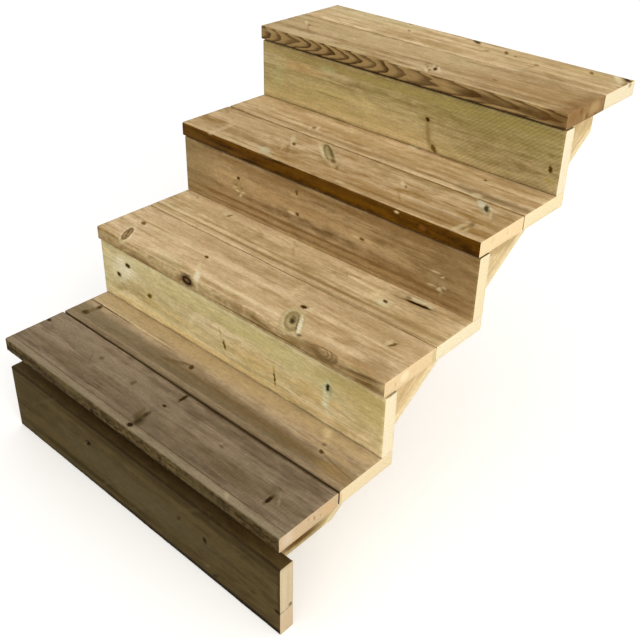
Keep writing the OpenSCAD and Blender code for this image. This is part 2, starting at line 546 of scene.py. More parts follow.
def front_edge(tree, wood):
    """The colour of the long edges, with clear rings or dirt where the plank has them."""
    look, place = wood["look"], wood["place"]
    if look["edge_rings"]:
        own = dict(look, **look["edge_rings"])
        waves = streaks(tree, place, EDGE_WAVE, 2.0, look["seed"])
        bent = add(tree, VECTOR, waves.outputs["Color"], (0, EDGE_SWING, EDGE_SWING), place,
                   operation="MULTIPLY_ADD")
        rings = year_rings(tree, bent, own, [])
        colour = add(tree, MIX, rings, *(linear(tone) for tone in look["edge"]), **COLOUR)
    else:
        colour = grain(tree, wood, look["edge"])
    if look["blotch"]:
        dirt = wave(tree, wood, "dirt", 0.0, look["blotch"])
        colour = add(tree, MIX, dirt, colour, linear(DIRT), **COLOUR)
    return colour


def marked(tree, wood, colour, frayed):
    """A colour with the plank's knots and stains laid over it, in order."""
    look, place = wood["look"], wood["place"]
    ragged = shaken(tree, place, streaks(tree, place, RAG[0], 3.0, look["seed"] * 3.3), RAG[1])
    for mark in look["marks"]:
        short, long = sorted((mark["long"], mark["wide"]))
        broad = mark["kind"] == "stain_and_shade" and short > BROAD and long < STRIP * short
        rim = ragged if broad else frayed
        colour = draw_mark(tree, colour, rim, mark, wood["tones"], look["lift"])
    return colour


def sawn_end(tree, wood, frayed):
    """The colour of the sawn ends: the rings as arcs, pale and a little rough."""
    look = wood["look"]
    rings = add(tree, MATH, wood["late"], END_RINGS, operation="MULTIPLY")
    colour = add(tree, MIX, rings, *(linear(tone) for tone in look["end"]), **COLOUR)
    speck = wave(tree, wood, "speck", *SPECK_TONES)
    colour = add(tree, MIX, FINE_SHARE, colour, speck, **COLOUR, blend_type="MULTIPLY")
    for mark in look["end_marks"]:
        colour = draw_mark(tree, colour, frayed, mark, wood["tones"])
    return colour


print("ready: front_edge, marked, sawn_end")

# %% Ripples and height
BUMP = 0.0004                             # the height that counts as 1, m
PROUD = {"late": 0.4, "fibre": 0.8, "line": 0.8, "ripple": 1.3}   # and how high each part stands
DRUM = {"Distortion": 1.2, "Detail": 1.0, "Detail Scale": 0.05}   # how unevenly the planer ran
NODE_BANDS = 20 / (2 * math.pi)           # bands that the wave node draws on one unit at scale 1
THIN_CLOUD = (0.3, 0.6, 0.4, 1.0)         # ripples sink to 0.4 where the clouds are thin


def ripple(tree, wood, end):
    """The planer's ripples, 0 to 1, over a part of the length, stronger in some places."""
    place, ripples = wood["place"], wood["look"]["ripples"]
    turned = add(tree, MAPPING, {"Vector": place, "Rotation": (0, 0, math.radians(ripples["turn"]))})
    bands = add(tree, "ShaderNodeTexWave",
                {"Vector": turned, "Scale": 1 / (NODE_BANDS * ripples["pitch"]), **DRUM},
                wave_type="BANDS", bands_direction="X")
    here = add(tree, RANGE, add(tree, SPLIT, place), *ripples["from_to"], **SMOOTH)
    patchy = add(tree, RANGE, wood["cloud"], *THIN_CLOUD, **SMOOTH)
    not_end = add(tree, MATH, 1.0, end, operation="SUBTRACT")
    ridge = bands.outputs["Fac"]
    for share in (here, patchy, not_end):
        ridge = add(tree, MATH, ridge, share, operation="MULTIPLY")
    return ridge


print("heights in shares of", BUMP, "m:", PROUD)

# %% The whole recipe for one plank's wood
PLANED_ROUGH = 0.75     # planed softwood, dulled by the weather: no glare from any side
ROUGH_SWING = 0.2       # how much rougher the fibres are than the hollows between them
WOOD_IOR = 1.5
DULL = 0.05             # specular level: weathered fibres hardly mirror anything
BUMP_STRENGTH = 0.5
IS_END = (0.6, 0.8)     # how squarely a surface looks along the plank where it turns to sawn end
IS_EDGE = (0.45, 0.75)  # and how squarely to the front where it turns to front edge


def treated_pine(name, look):
    """Planed, pressure-treated pine as one plank shows it."""
    material = bpy.data.materials.new(name)
    material.use_nodes = True
    tree = material.node_tree

    # place in the plank, mm, and the same place in the bent trunk
    here = add(tree, "ShaderNodeTexCoord")
    own, facing = here.outputs["Object"], here.outputs["Normal"]
    if look["leaning"]:
        own, facing = (add(tree, MAPPING, {"Vector": v, "Rotation": look["leaning"]},
                           vector_type="TEXTURE") for v in (own, facing))
    place = add(tree, VECTOR, own, (1 / MM, 1 / MM, 1 / MM), operation="MULTIPLY")
    wood = {"look": look, "place": place, "grown": bent_place(tree, place, look),
            "tones": dict(zip(("core", "body", "halo"), look["knot"]))}
    wood["late"] = year_rings(tree, wood["grown"], look, [m for m in look["marks"] if m["kind"] in KNOTS])

    # which way the surface faces in the plank: wide face, long edge or sawn end
    facing = add(tree, SPLIT, facing)
    endwise = add(tree, MATH, facing, operation="ABSOLUTE")
    end = add(tree, RANGE, endwise, *IS_END, **SMOOTH)
    forward = add(tree, MATH, facing.outputs[1], -1.0, operation="MULTIPLY")
    front = add(tree, RANGE, forward, *IS_EDGE, **SMOOTH)

    # wide face with its copper green or grey cast, then the edge, the marks and the fibres
    cast = wave(tree, wood, "cloud", 0.0, look["cloud"])
    colour = add(tree, MIX, cast, grain(tree, wood, look["face"]), linear(look["cast"]), **COLOUR)
    colour = add(tree, MIX, front, colour, front_edge(tree, wood), **COLOUR)
    frayed = shaken(tree, place, streaks(tree, place, FRAY[0], 3.0, look["seed"]), FRAY[1])
    colour = marked(tree, wood, colour, frayed)
    for name, tones in (("fibre", FIBRE_TONES), ("fleck", FLECK_TONES)):
        fine = wave(tree, wood, name, *tones)
        colour = add(tree, MIX, FINE_SHARE, colour, fine, **COLOUR, blend_type="MULTIPLY")
    colour = add(tree, MIX, end, colour, sawn_end(tree, wood, frayed), **COLOUR)

    # summer wood stands a little proud, fibres lift, the planer leaves ripples
    height = add(tree, MATH, wood["fibre"], PROUD["fibre"], operation="MULTIPLY")
    for name in ("late", "line"):
        height = add(tree, MATH, wood[name], PROUD[name], height, operation="MULTIPLY_ADD")
    if look["ripples"]:
        ridge = ripple(tree, wood, end)
        height = add(tree, MATH, ridge, PROUD["ripple"], height, operation="MULTIPLY_ADD")
        shade = add(tree, MATH, ridge, -look["ripples"]["shade"], 1.0, operation="MULTIPLY_ADD")
        colour = add(tree, MIX, 1.0, colour, shade, **COLOUR, blend_type="MULTIPLY")
    bump = add(tree, "ShaderNodeBump",
               {"Height": height, "Strength": BUMP_STRENGTH, "Distance": BUMP})
    rough = add(tree, MATH, wood["fibre"], ROUGH_SWING, PLANED_ROUGH - ROUGH_SWING / 2,
                operation="MULTIPLY_ADD")
    fill(tree, tree.nodes["Principled BSDF"],
         {"Base Color": colour, "Normal": bump, "Roughness": rough, "IOR": WOOD_IOR,
          "Specular IOR Level": DULL})
    return material


print("recipe ready: treated_pine")

# %% [markdown]
# ## What each plank is like
# Every plank came from a different place in a tree, so each has its own numbers: where the heart
# lay, how wide the year rings are, its knots, how the weather and the treatment coloured it, and the
# shade painted where another step overhangs it.
# Knots in pine come in whorls, one whorl for each year of height, which is why they line up across a
# board every 200 to 300 mm. Lengths are in millimetres from the left end and the front edge, or the
# lower edge of a riser.
#
# The marks are laid over one another in the order they are written. The renderer has room for about
# 60 in one material and draws a board with more of them black, so each board here stays below that.

# %% The common numbers
PLAIN = dict(
    seed=1,                                              # which waves the plank gets
    face=("#C6A97C", "#9C7F54"),                         # pale and dark tone of the wide face,
    edge=("#A98C5E", "#6E5029"),                         # of the long edges
    end=("#E9DAB6", "#CDB485"),                          # and of the sawn ends
    knot=("#3A2408", "#7E5F33", "#DCCAA2"),              # core, body and halo of the knots
    cast="#B39A66", cloud=0.35,                          # what the treatment left, and how much
    heart=(70.0, -30.0), drift=0.0, taper=0.01,          # where the tree's heart lay, and its cone
    ring=3.6, uneven=2.2, hard=0.25,                     # width of a year ring, mm, and its variation
    straight=None, wander=12.0,                          # how the trunk was bent
    edge_rings=None,                                     # other rings on the front edge, if clear
    grain=0.13, streak=0.6, run=0.16, line=0.07, mottle=0.3,   # how much each pattern shows
    blotch=0.0, ripples=None,                            # dirt on the edge, marks of the planer
    lift=1.0,                                            # brightens the marks of a shaded face
    marks=[], end_marks=[], checks=[],                   # its knots, stains and painted shade, and its checks
    wider=0.0,                                           # how far the plank has swollen, mm
    leaning=None,                                        # turn of a plank that isn't square to the room
)
LOOKS = {}


def describe(node, **look):
    """Notes what the board for one node is like, where it isn't as a plain plank."""
    LOOKS[node] = dict(PLAIN, **look)
    print(node, "has", len(LOOKS[node]["marks"]) + len(LOOKS[node]["end_marks"]), "marks")


def check(y, x, long, deep=3.0):
    """A drying check across y, open at x and dying out over a length."""
    return dict(y=y, x=x, long=long, deep=deep)


print("a plain plank has year rings", PLAIN["ring"], "mm wide")

# %% Top step, front board: clear arches on its edge
describe(
    "tread_4_front_board", seed=1, face=("#C9AF85", "#886639"), edge=("#A18556", "#442A0A"),
    end=("#997A50", "#6B4C27"), streak=0.66, mottle=0.3, wider=2.8,
    edge_rings=dict(heart=(36.0, 19.0), taper=0.085, ring=3.4, uneven=0.6, hard=0.7, straight=(440.0, 0.42)),
    end_marks=[
        end_stain(84, 20, 5, 12, "#73542B"), end_stain(67, 9, 4, 8, "#BE9A6A", 0.5),
        end_stain(78, 9, 5, 7, "#5E4220", 0.7), end_stain(130, 22, 4, 9, "#6F522C", 0.5),
        end_stain(24, 20, 16, 12, "#8A6638", 0.7), end_stain(52, 24, 7, 8, "#7A5628", 0.8),
        end_stain(105, 18, 26, 12, "#BC9F70", 0.7), end_stain(112, 3, 6, 4, "#6A5230", 0.7),
        end_stain(145, 14, 3, 16, "#7C6A48", 0.8),
    ],
    marks=[
        stain_and_shade(100, 130, 130, 13, "#D9BE94", 0.5), stain_and_shade(660, 14, 150, 9, "#94794F", 0.45),
        stain_and_shade(760, 132, 50, 12, "#D0B488", 0.45), stain_and_shade(250, 90, 250, 34, "#C6AA7E", 0.5),
        stain_and_shade(690, 70, 150, 50, "#A98A5B", 0.45), stain_and_shade(700, 62, 170, 22, "#9C7C4E"),
        stain_and_shade(680, 27, 150, 6, "#8D6C3E", 0.75), stain_and_shade(640, 45, 120, 6, "#BD9F70", 0.5),
        stain_and_shade(812, 60, 26, 90, "#86653A", 0.7), stain_and_shade(700, 130, 180, 20, "#A3865A", 0.4),
        stain_and_shade(812, 34, 12, 14, "#8E5F38"), stain_and_shade(300, 45, 300, 7, "#A4865A"),
        stain_and_shade(240, 100, 200, 30, "#C2A97A", 0.5), stain_and_shade(56, 98, 16, 4, "#DCC99C", 0.85, -45),
        knot(78, 84, 9, 4, -40, "smudge", body="#7A5A2E"), stain_and_shade(98, 60, 24, 2.5, "#9A7C50", 0.6, -42),
        stain_and_shade(503, 116, 24, 7, "#BDB07E", 0.6, -42), stain_and_shade(480, 74, 10, 8, "#A58A5C"),
        stain_and_shade(472, 50, 14, 3.6, "#C9B68C", 0.8, -58), stain_and_shade(489, 44, 13, 3.4, "#DDC9A0", 0.9, -56),
        stain_and_shade(499, 29, 9, 5.5, "#D6C096", 0.85, -60), stain_and_shade(476, 17, 15, 3.8, "#D8C294", 0.85, -52),
        stain_and_shade(466, 36, 11, 2.6, "#8B7140", 0.7, -60),
        knot(485, 37, 10, 3.8, -58, "hole", core="#45300E", body="#6A5730"),
        knot(481, 22, 8, 3.4, -58, "smudge", body="#5A4318"), stain_and_shade(455, 46, 10, 3, "#957B48", 0.6, -58),
        knot(613, 68, 8, 4, -20, "smudge"), edge_patch_and_shade(625, 16, 62, 7, "#4B3009", 0.85),
        edge_patch_and_shade(735, 15, 40, 8, "#4B3009", 0.88), edge_patch_and_shade(700, 7, 60, 1.6, "#A58A5C", 0.8),
        edge_patch_and_shade(800, 16, 40, 14, "#593A12", 0.75), edge_patch_and_shade(20, 24, 34, 4, "#A99168"),
        # painted shadow: a near-black line along the foot of the front edge, where the nosing overhangs the
        # riser below
        edge_patch_and_shade(410, -1, 900, 3.5, "#2A1700", 0.95, wide=8),
    ],
)

# %% Top step, rear board
describe(
    "tread_4_rear_board", seed=2, face=("#E2C69B", "#A78756"), edge=("#A98C5E", "#6E5029"),
    end=("#F0E4C4", "#D9C695"), cast="#C2B27E", cloud=0.3, heart=(60.0, -45.0), streak=0.72, run=0.2,
    line=0.1, mottle=0.34,
    end_marks=[end_stain(104, 27, 7, 5, "#8E7042", 0.8)],
    marks=[
        stain_and_shade(700, 15, 130, 15, "#927748", 0.7), stain_and_shade(700, 112, 130, 12, "#9C8050", 0.62),
        stain_and_shade(500, 77, 230, 11, "#DEC598", 0.4), stain_and_shade(110, 110, 190, 22, "#C4B787", 0.5),
        stain_and_shade(720, 100, 60, 9, "#CDB978"), stain_and_shade(150, 86, 200, 10, "#D8C093"),
        stain_and_shade(650, 96, 200, 40, "#B89C6C", 0.4), stain_and_shade(200, 72, 230, 10, "#CDB384", 0.5),
        stain_and_shade(420, 40, 500, 16, "#BA9E6E", 0.5), stain_and_shade(760, 40, 80, 5, "#CFB688"),
        stain_and_shade(760, 28, 70, 4, "#A0824F", 0.5), stain_and_shade(240, 116, 20, 6, "#DCC698", 0.8, -42),
        knot(238, 122, 10, 4, -40, "smudge"), stain_and_shade(286, 66, 8, 3, "#D6BE90", 0.6, -40),
        knot(272, 74, 10, 3, -45, "smudge"), stain_and_shade(454, 106, 10, 4, "#DAC79C", 0.6, -40),
        knot(434, 118, 22, 7, -38, "hole", core="#5F4520", body="#94794A"),
        knot(490, 74, 9, 7, 0, "smudge", body="#8A6B3A"),
        knot(529, 94, 12, 4.5, -55, "hole", core="#77592C", body="#8F7145"),
        knot(558, 85, 6, 4, -50, "smudge"), stain_and_shade(606, 82, 26, 4, "#CDB68A", 0.5, -45),
        knot(623, 64, 9, 6, -45, "smudge"), stain_and_shade(620, 46, 6, 30, "#9A7F52", 0.4),
        knot(732, 104, 11, 4, -55, "hole", core="#86683C", body="#9A7E50"),
        stain_and_shade(680, 22, 26, 7, "#94774A", 0.6, -40), stain_and_shade(706, 16, 20, 5, "#94774A", 0.6, -30),
        stain_and_shade(786, 114, 30, 6, "#E0D2AB", 0.8, -52), stain_and_shade(796, 94, 22, 4, "#D8C89E", 0.6, -52),
        stain_and_shade(770, 62, 44, 14, "#A58C5C"),
        knot(806, 117, 15, 6, -50, "hole", core="#45341A", body="#6E5A30"),
        stain_and_shade(818, 112, 8, 6, "#4E3C1C", 0.9), stain_and_shade(812, 98, 12, 3, "#7A6238", 0.7, -50),
        stain_and_shade(797, 121, 12, 2.5, "#6A5630", 0.8, -50), stain_and_shade(818, 82, 5, 10, "#6E5833", 0.7),
        stain_and_shade(815, 60, 6, 5, "#6A5430", 0.5),
    ],
)

# %% Fourth riser: rippled by the planer
describe(
    "riser_4", seed=3, face=("#C8B284", "#897248"), edge=("#8A7545", "#5F4A25"), end=("#F3E8CA", "#E0CFA2"),
    cast="#A99B5F", cloud=0.45, lift=1.25, heart=(60.0, -22.0), grain=0.2, streak=0.55, run=0.2, line=0.1,
    mottle=0.34,
    ripples=dict(turn=50, pitch=7.0, from_to=(470.0, 640.0), shade=0.17),
    marks=[
        # painted shade under the nosing of the tread above: the dark bands along the top and the near-black
        # line at the very top; the paler band along the foot is painted light
        stain_and_shade(420, 123, 900, 12, "#7E6634"), stain_and_shade(290, 13, 420, 13, "#C8B27E", 0.62),
        stain_and_shade(410, 138, 900, 2.5, "#33240F", 0.8, z=16, deep=30), stain_and_shade(250, 58, 260, 26, "#BFAC75", 0.45),
        stain_and_shade(700, 70, 140, 60, "#8B7A45", 0.4), stain_and_shade(540, 122, 280, 12, "#867642", 0.5),
        stain_and_shade(130, 98, 60, 12, "#B58E58", 0.5), stain_and_shade(640, 108, 240, 40, "#8F8149"),
        stain_and_shade(50, 60, 16, 40, "#A5A06E"), stain_and_shade(210, 114, 26, 8, "#A3A478"),
        stain_and_shade(400, 120, 500, 8, "#9C8E54", 0.5), stain_and_shade(330, 66, 34, 5, "#BFAC74", 0.6, -20),
        stain_and_shade(330, 56, 20, 3, "#CDBB85"), stain_and_shade(230, 53, 56, 2, "#7F6934", 0.7),
        stain_and_shade(250, 60, 80, 3, "#B7A468"), stain_and_shade(280, 30, 330, 14, "#AF9C62", 0.5),
        stain_and_shade(575, 52, 50, 3, "#8A7440"), stain_and_shade(502, 42, 6, 34, "#7E6634", 0.7, 12),
        stain_and_shade(498, 72, 15, 10, "#84703C", 0.5), knot(498, 72, 6, 5, 0, "hole", core="#32230A"),
        stain_and_shade(519, 12, 13, 9, "#84703C", 0.7, -50),
        knot(519, 12, 10, 5.5, -50, "hole", core="#5F4B20", body="#7A6634"),
        knot(798, 52, 4.5, 8, 8, "hole", core="#44340F"), stain_and_shade(800, 26, 12, 8, "#9C8C3A", 0.5),
        stain_and_shade(796, 80, 6, 4, "#6E5C2C"),
    ],
)

# %% Third step, front board: a dark, worn edge
describe(
    "tread_3_front_board", seed=4, face=("#D0B48A", "#93723E"), edge=("#6A4404", "#3A2001"),
    end=("#F2D9AE", "#E2C08C"), knot=("#3A2A10", "#7C6C42", "#D3C7A0"), cast="#A98A5A", heart=(120.0, -18.0),
    drift=-0.03, streak=0.72, mottle=0.36, blotch=0.14,
    end_marks=[end_stain(40, 22, 6, 4, "#D9BE8C"), end_stain(90, 18, 3, 3, "#D2B684")],
    marks=[
        stain_and_shade(220, 130, 210, 13, "#D0B085", 0.45), stain_and_shade(700, 43, 90, 13, "#836842", 0.5),
        stain_and_shade(640, 15, 170, 10, "#84683E", 0.45), edge_patch_and_shade(560, 24, 170, 5, "#452A06", 0.5, wide=4),
        edge_patch_and_shade(110, 8, 110, 5, "#7E5A28", 0.4, wide=4), stain_and_shade(560, 28, 290, 22, "#A3804E", 0.65),
        stain_and_shade(640, 22, 200, 5, "#825F32", 0.8), stain_and_shade(170, 40, 150, 12, "#99774A", 0.65),
        stain_and_shade(170, 8, 190, 6, "#D2B88C", 0.85, deep=3), stain_and_shade(94, 30, 8, 44, "#D0B990", 0.7),
        stain_and_shade(70, 84, 30, 5, "#D0B88C", 0.65, -38), stain_and_shade(140, 110, 120, 18, "#BBA074", 0.5),
        stain_and_shade(20, 122, 16, 4, "#8E6E42", 0.5, -35), stain_and_shade(250, 19, 22, 8, "#CFC8A8", 0.75, -12),
        stain_and_shade(246, 32, 10, 5, "#C9BE98"), stain_and_shade(228, 34, 10, 5, "#84785A", 0.7, 20),
        stain_and_shade(254, 104, 26, 6, "#DCC89C", 0.8, -48), stain_and_shade(276, 64, 26, 4, "#8A6A3E", 0.7, -55),
        stain_and_shade(262, 62, 22, 3, "#CDB384", 0.6, -55),
        knot(270, 90, 10, 4, -42, "hole", core="#7A5A2E", body="#93744A"),
        stain_and_shade(290, 52, 14, 3, "#8A6A3E", 0.6, -60),
        knot(358, 107, 46, 9.5, -40, "oval", body="#A39163", core="#7C6C40", halo="#C2B184", deep=20),
        stain_and_shade(340, 104, 42, 4, "#DCCFA6", 0.8, -40), stain_and_shade(364, 108, 44, 3, "#5F5230", 0.9, -40),
        stain_and_shade(352, 118, 24, 2, "#6A5C36", 0.7, -40), stain_and_shade(392, 84, 14, 5, "#6A4E24", 0.9, -40),
        knot(421, 62, 12, 4, -48, "smudge", body="#77592E"), stain_and_shade(396, 70, 30, 3, "#C6AA7C", 0.6, -40),
        stain_and_shade(480, 92, 120, 6, "#CDB384", 0.5), stain_and_shade(604, 46, 16, 3, "#C2A677", 0.6, -48),
        knot(580, 90, 7, 3, -50, "hole", core="#8A6C3C", body="#A08254"),
        stain_and_shade(566, 98, 10, 5, "#DDCA9C", 0.8, -40), stain_and_shade(600, 44, 30, 2.5, "#9A7B48", 0.6, -45),
        stain_and_shade(660, 130, 150, 8, "#B3A070", 0.5), stain_and_shade(730, 136, 20, 8, "#D6D2B6", 0.8, -50),
        stain_and_shade(748, 120, 22, 4, "#D6D0B0", 0.7, -58),
        knot(750, 122, 15, 5, -58, "hole", core="#45402A", body="#7E7654"),
        stain_and_shade(757, 128, 8, 2, "#CFC8A4", 0.8, -30), stain_and_shade(764, 116, 9, 2.5, "#6E6746", 0.7, -35),
        stain_and_shade(744, 112, 12, 5, "#A49C78", 0.6, -20), stain_and_shade(772, 104, 16, 3, "#DCD0A8", 0.7, -58),
        stain_and_shade(756, 24, 6, 18, "#D2C194", 0.7, -8), stain_and_shade(772, 22, 4, 11, "#CDBC8E"),
        knot(768, 48, 6, 12, 10, "smudge", body="#6E5228"), stain_and_shade(786, 52, 14, 3, "#C9B082"),
        stain_and_shade(800, 90, 30, 40, "#9C7F50", 0.5), stain_and_shade(470, 14, 12, 5, "#D2BB8E"),
        edge_patch_and_shade(628, 25, 6, 3, "#D6C08A", 0.95, wide=4),
        edge_patch_and_shade(690, 14, 9, 6, "#7A4C18", 0.9, wide=4), edge_patch_and_shade(40, 16, 50, 12, "#6A4A18", wide=4),
        edge_patch_and_shade(270, 30, 20, 4, "#6E5430", wide=4), edge_patch_and_shade(360, 20, 200, 5, "#5E3C0C", 0.4, wide=4),
    ],
)

# %% Third step, rear board
describe(
    "tread_3_rear_board", seed=5, face=("#E1C69B", "#A98756"), edge=("#A98C5E", "#6E5029"),
    end=("#F2E3BC", "#DCC793"), cast="#B09360", heart=(60.0, -30.0), streak=0.7, mottle=0.34,
    marks=[
        stain_and_shade(300, 17, 330, 13, "#957649", 0.4), stain_and_shade(745, 18, 110, 15, "#70562F", 0.78),
        stain_and_shade(190, 77, 200, 13, "#DABC90"), stain_and_shade(40, 102, 60, 12, "#DCC094", 0.7),
        stain_and_shade(740, 102, 90, 11, "#937347", 0.4), stain_and_shade(330, 20, 300, 6, "#9C7D4E"),
        stain_and_shade(120, 12, 120, 4, "#D0B488", 0.5), stain_and_shade(600, 20, 60, 3, "#8F7042", 0.7),
        stain_and_shade(380, 60, 200, 14, "#BD9D68", 0.5), stain_and_shade(620, 44, 160, 12, "#A98A58", 0.5),
        stain_and_shade(640, 84, 200, 14, "#BFA371", 0.5), stain_and_shade(246, 46, 12, 5, "#E0CEA4", 0.9, -60),
        stain_and_shade(232, 34, 10, 4, "#DCC9A0", 0.8, -60), knot(238, 41, 8, 4, -55, "smudge"),
        stain_and_shade(466, 112, 20, 8, "#E4D6AE", 0.9, -30), stain_and_shade(500, 103, 36, 3, "#D6C094", 0.8),
        stain_and_shade(570, 104, 40, 3, "#CDB386"), stain_and_shade(306, 78, 12, 4, "#D8C294", 0.8, 30),
        stain_and_shade(316, 84, 10, 3, "#DAC698", 0.8, -50),
        knot(677, 80, 6, 3, -50, "hole", core="#7A5A2E", body="#93744A"),
        stain_and_shade(686, 76, 6, 9, "#CFB98A", 0.7, -30), stain_and_shade(85, 63, 8, 4, "#DCC698", 0.8, -45),
        stain_and_shade(50, 80, 50, 3, "#C9AE80", 0.5, -30), stain_and_shade(704, 9, 12, 9, "#D6C59A", 0.85),
        stain_and_shade(556, 9, 14, 4, "#D8C498", 0.8), stain_and_shade(600, 8, 24, 3, "#CDB488"),
        stain_and_shade(150, 116, 200, 8, "#BCA878", 0.5), stain_and_shade(700, 118, 160, 6, "#A69260", 0.5),
    ],
)

# %% Third riser
describe(
    "riser_3", seed=6, face=("#BDA175", "#725832"), edge=("#8A6A3C", "#553A18"), end=("#F0E1BC", "#DCC79A"),
    knot=("#37240A", "#76592F", "#C9B58A"), cast="#977647", cloud=0.4, lift=1.3, heart=(70.0, -60.0),
    ring=3.0, grain=0.2, streak=0.62, mottle=0.28,
    marks=[
        # painted shade under the nosing of the tread above: the dark band 123 mm up and the near-black line
        # at the very top
        stain_and_shade(540, 123, 460, 12, "#694C22"), stain_and_shade(765, 13, 60, 13, "#6F5430", 0.5),
        stain_and_shade(150, 84, 170, 28, "#B69A70", 0.5), stain_and_shade(640, 96, 210, 12, "#785A30", 0.4),
        stain_and_shade(410, 138, 900, 4, "#2E1D08", 0.9, z=16, deep=30), stain_and_shade(30, 70, 60, 90, "#85714A", 0.7),
        stain_and_shade(770, 80, 100, 60, "#7D6540"), stain_and_shade(180, 70, 18, 18, "#8E7C50", 0.7),
        stain_and_shade(166, 62, 8, 3.5, "#BFAE80", 0.6, 20), stain_and_shade(176, 55, 7, 3.5, "#CDBC90", 0.7, -6),
        stain_and_shade(193, 56, 7, 3, "#CBBA8E", 0.65, 14), stain_and_shade(184, 47, 6, 4, "#D2C296", 0.7, 30),
        stain_and_shade(172, 70, 5, 3, "#5F4C28", 0.7, 30), stain_and_shade(189, 66, 4, 3, "#5F4C28", 0.7),
        stain_and_shade(180, 50, 3, 6, "#6A5630"), stain_and_shade(168, 86, 12, 2, "#BFA878", 0.6, 10),
        knot(179, 88, 5, 4, 10, "hole", core="#3E2A0E"), stain_and_shade(352, 104, 14, 5, "#A98F60", 0.7),
        stain_and_shade(372, 112, 10, 3, "#A98F60"), knot(359, 114, 4, 7, 10, "hole", core="#46300F"),
        stain_and_shade(345, 61, 13, 4, "#D0BE90", 0.75), stain_and_shade(376, 62, 10, 3, "#BCA474"),
        knot(361, 63, 5, 4, 0, "hole", core="#3E2A0E"), stain_and_shade(528, 71, 14, 3, "#CDB98A", 0.85),
        stain_and_shade(557, 74, 12, 3, "#BFA878", 0.7), knot(541, 71, 5.5, 3.5, 0, "hole", core="#3E2A0E"),
        stain_and_shade(520, 40, 3, 14, "#7B6238", 0.5, 20), stain_and_shade(718, 39, 12, 2.5, "#BFB088", 0.65, 6),
        stain_and_shade(738, 38, 7, 4, "#CFC3A0", 0.7, 30), stain_and_shade(748, 45, 6, 3.5, "#C6B890"),
        stain_and_shade(742, 30, 6, 3.5, "#C6B890", 0.55, 40), stain_and_shade(732, 48, 4, 4, "#5F5230", 0.7),
        stain_and_shade(744, 39, 4, 3, "#5F5230"), stain_and_shade(726, 71, 12, 2.5, "#C6B488", 0.65),
        stain_and_shade(742, 66, 6, 2, "#C6B488", 0.7, 30), stain_and_shade(735, 60, 5, 4, "#685734"),
        stain_and_shade(734, 56, 16, 12, "#93805A"), stain_and_shade(734, 110, 16, 20, "#6F5B38", 0.5),
        stain_and_shade(430, 29, 480, 4, "#6E5028", 0.75), stain_and_shade(430, 20, 500, 4, "#A08256"),
        stain_and_shade(400, 11, 500, 3, "#6E5028", 0.65), stain_and_shade(640, 122, 240, 8, "#7B5F38"),
        stain_and_shade(240, 118, 180, 8, "#83683E", 0.5), stain_and_shade(400, 78, 200, 14, "#A58558", 0.5),
        stain_and_shade(650, 100, 120, 2, "#6E5430"), stain_and_shade(410, 2, 900, 2.5, "#BFA070", 0.5),
    ],
)

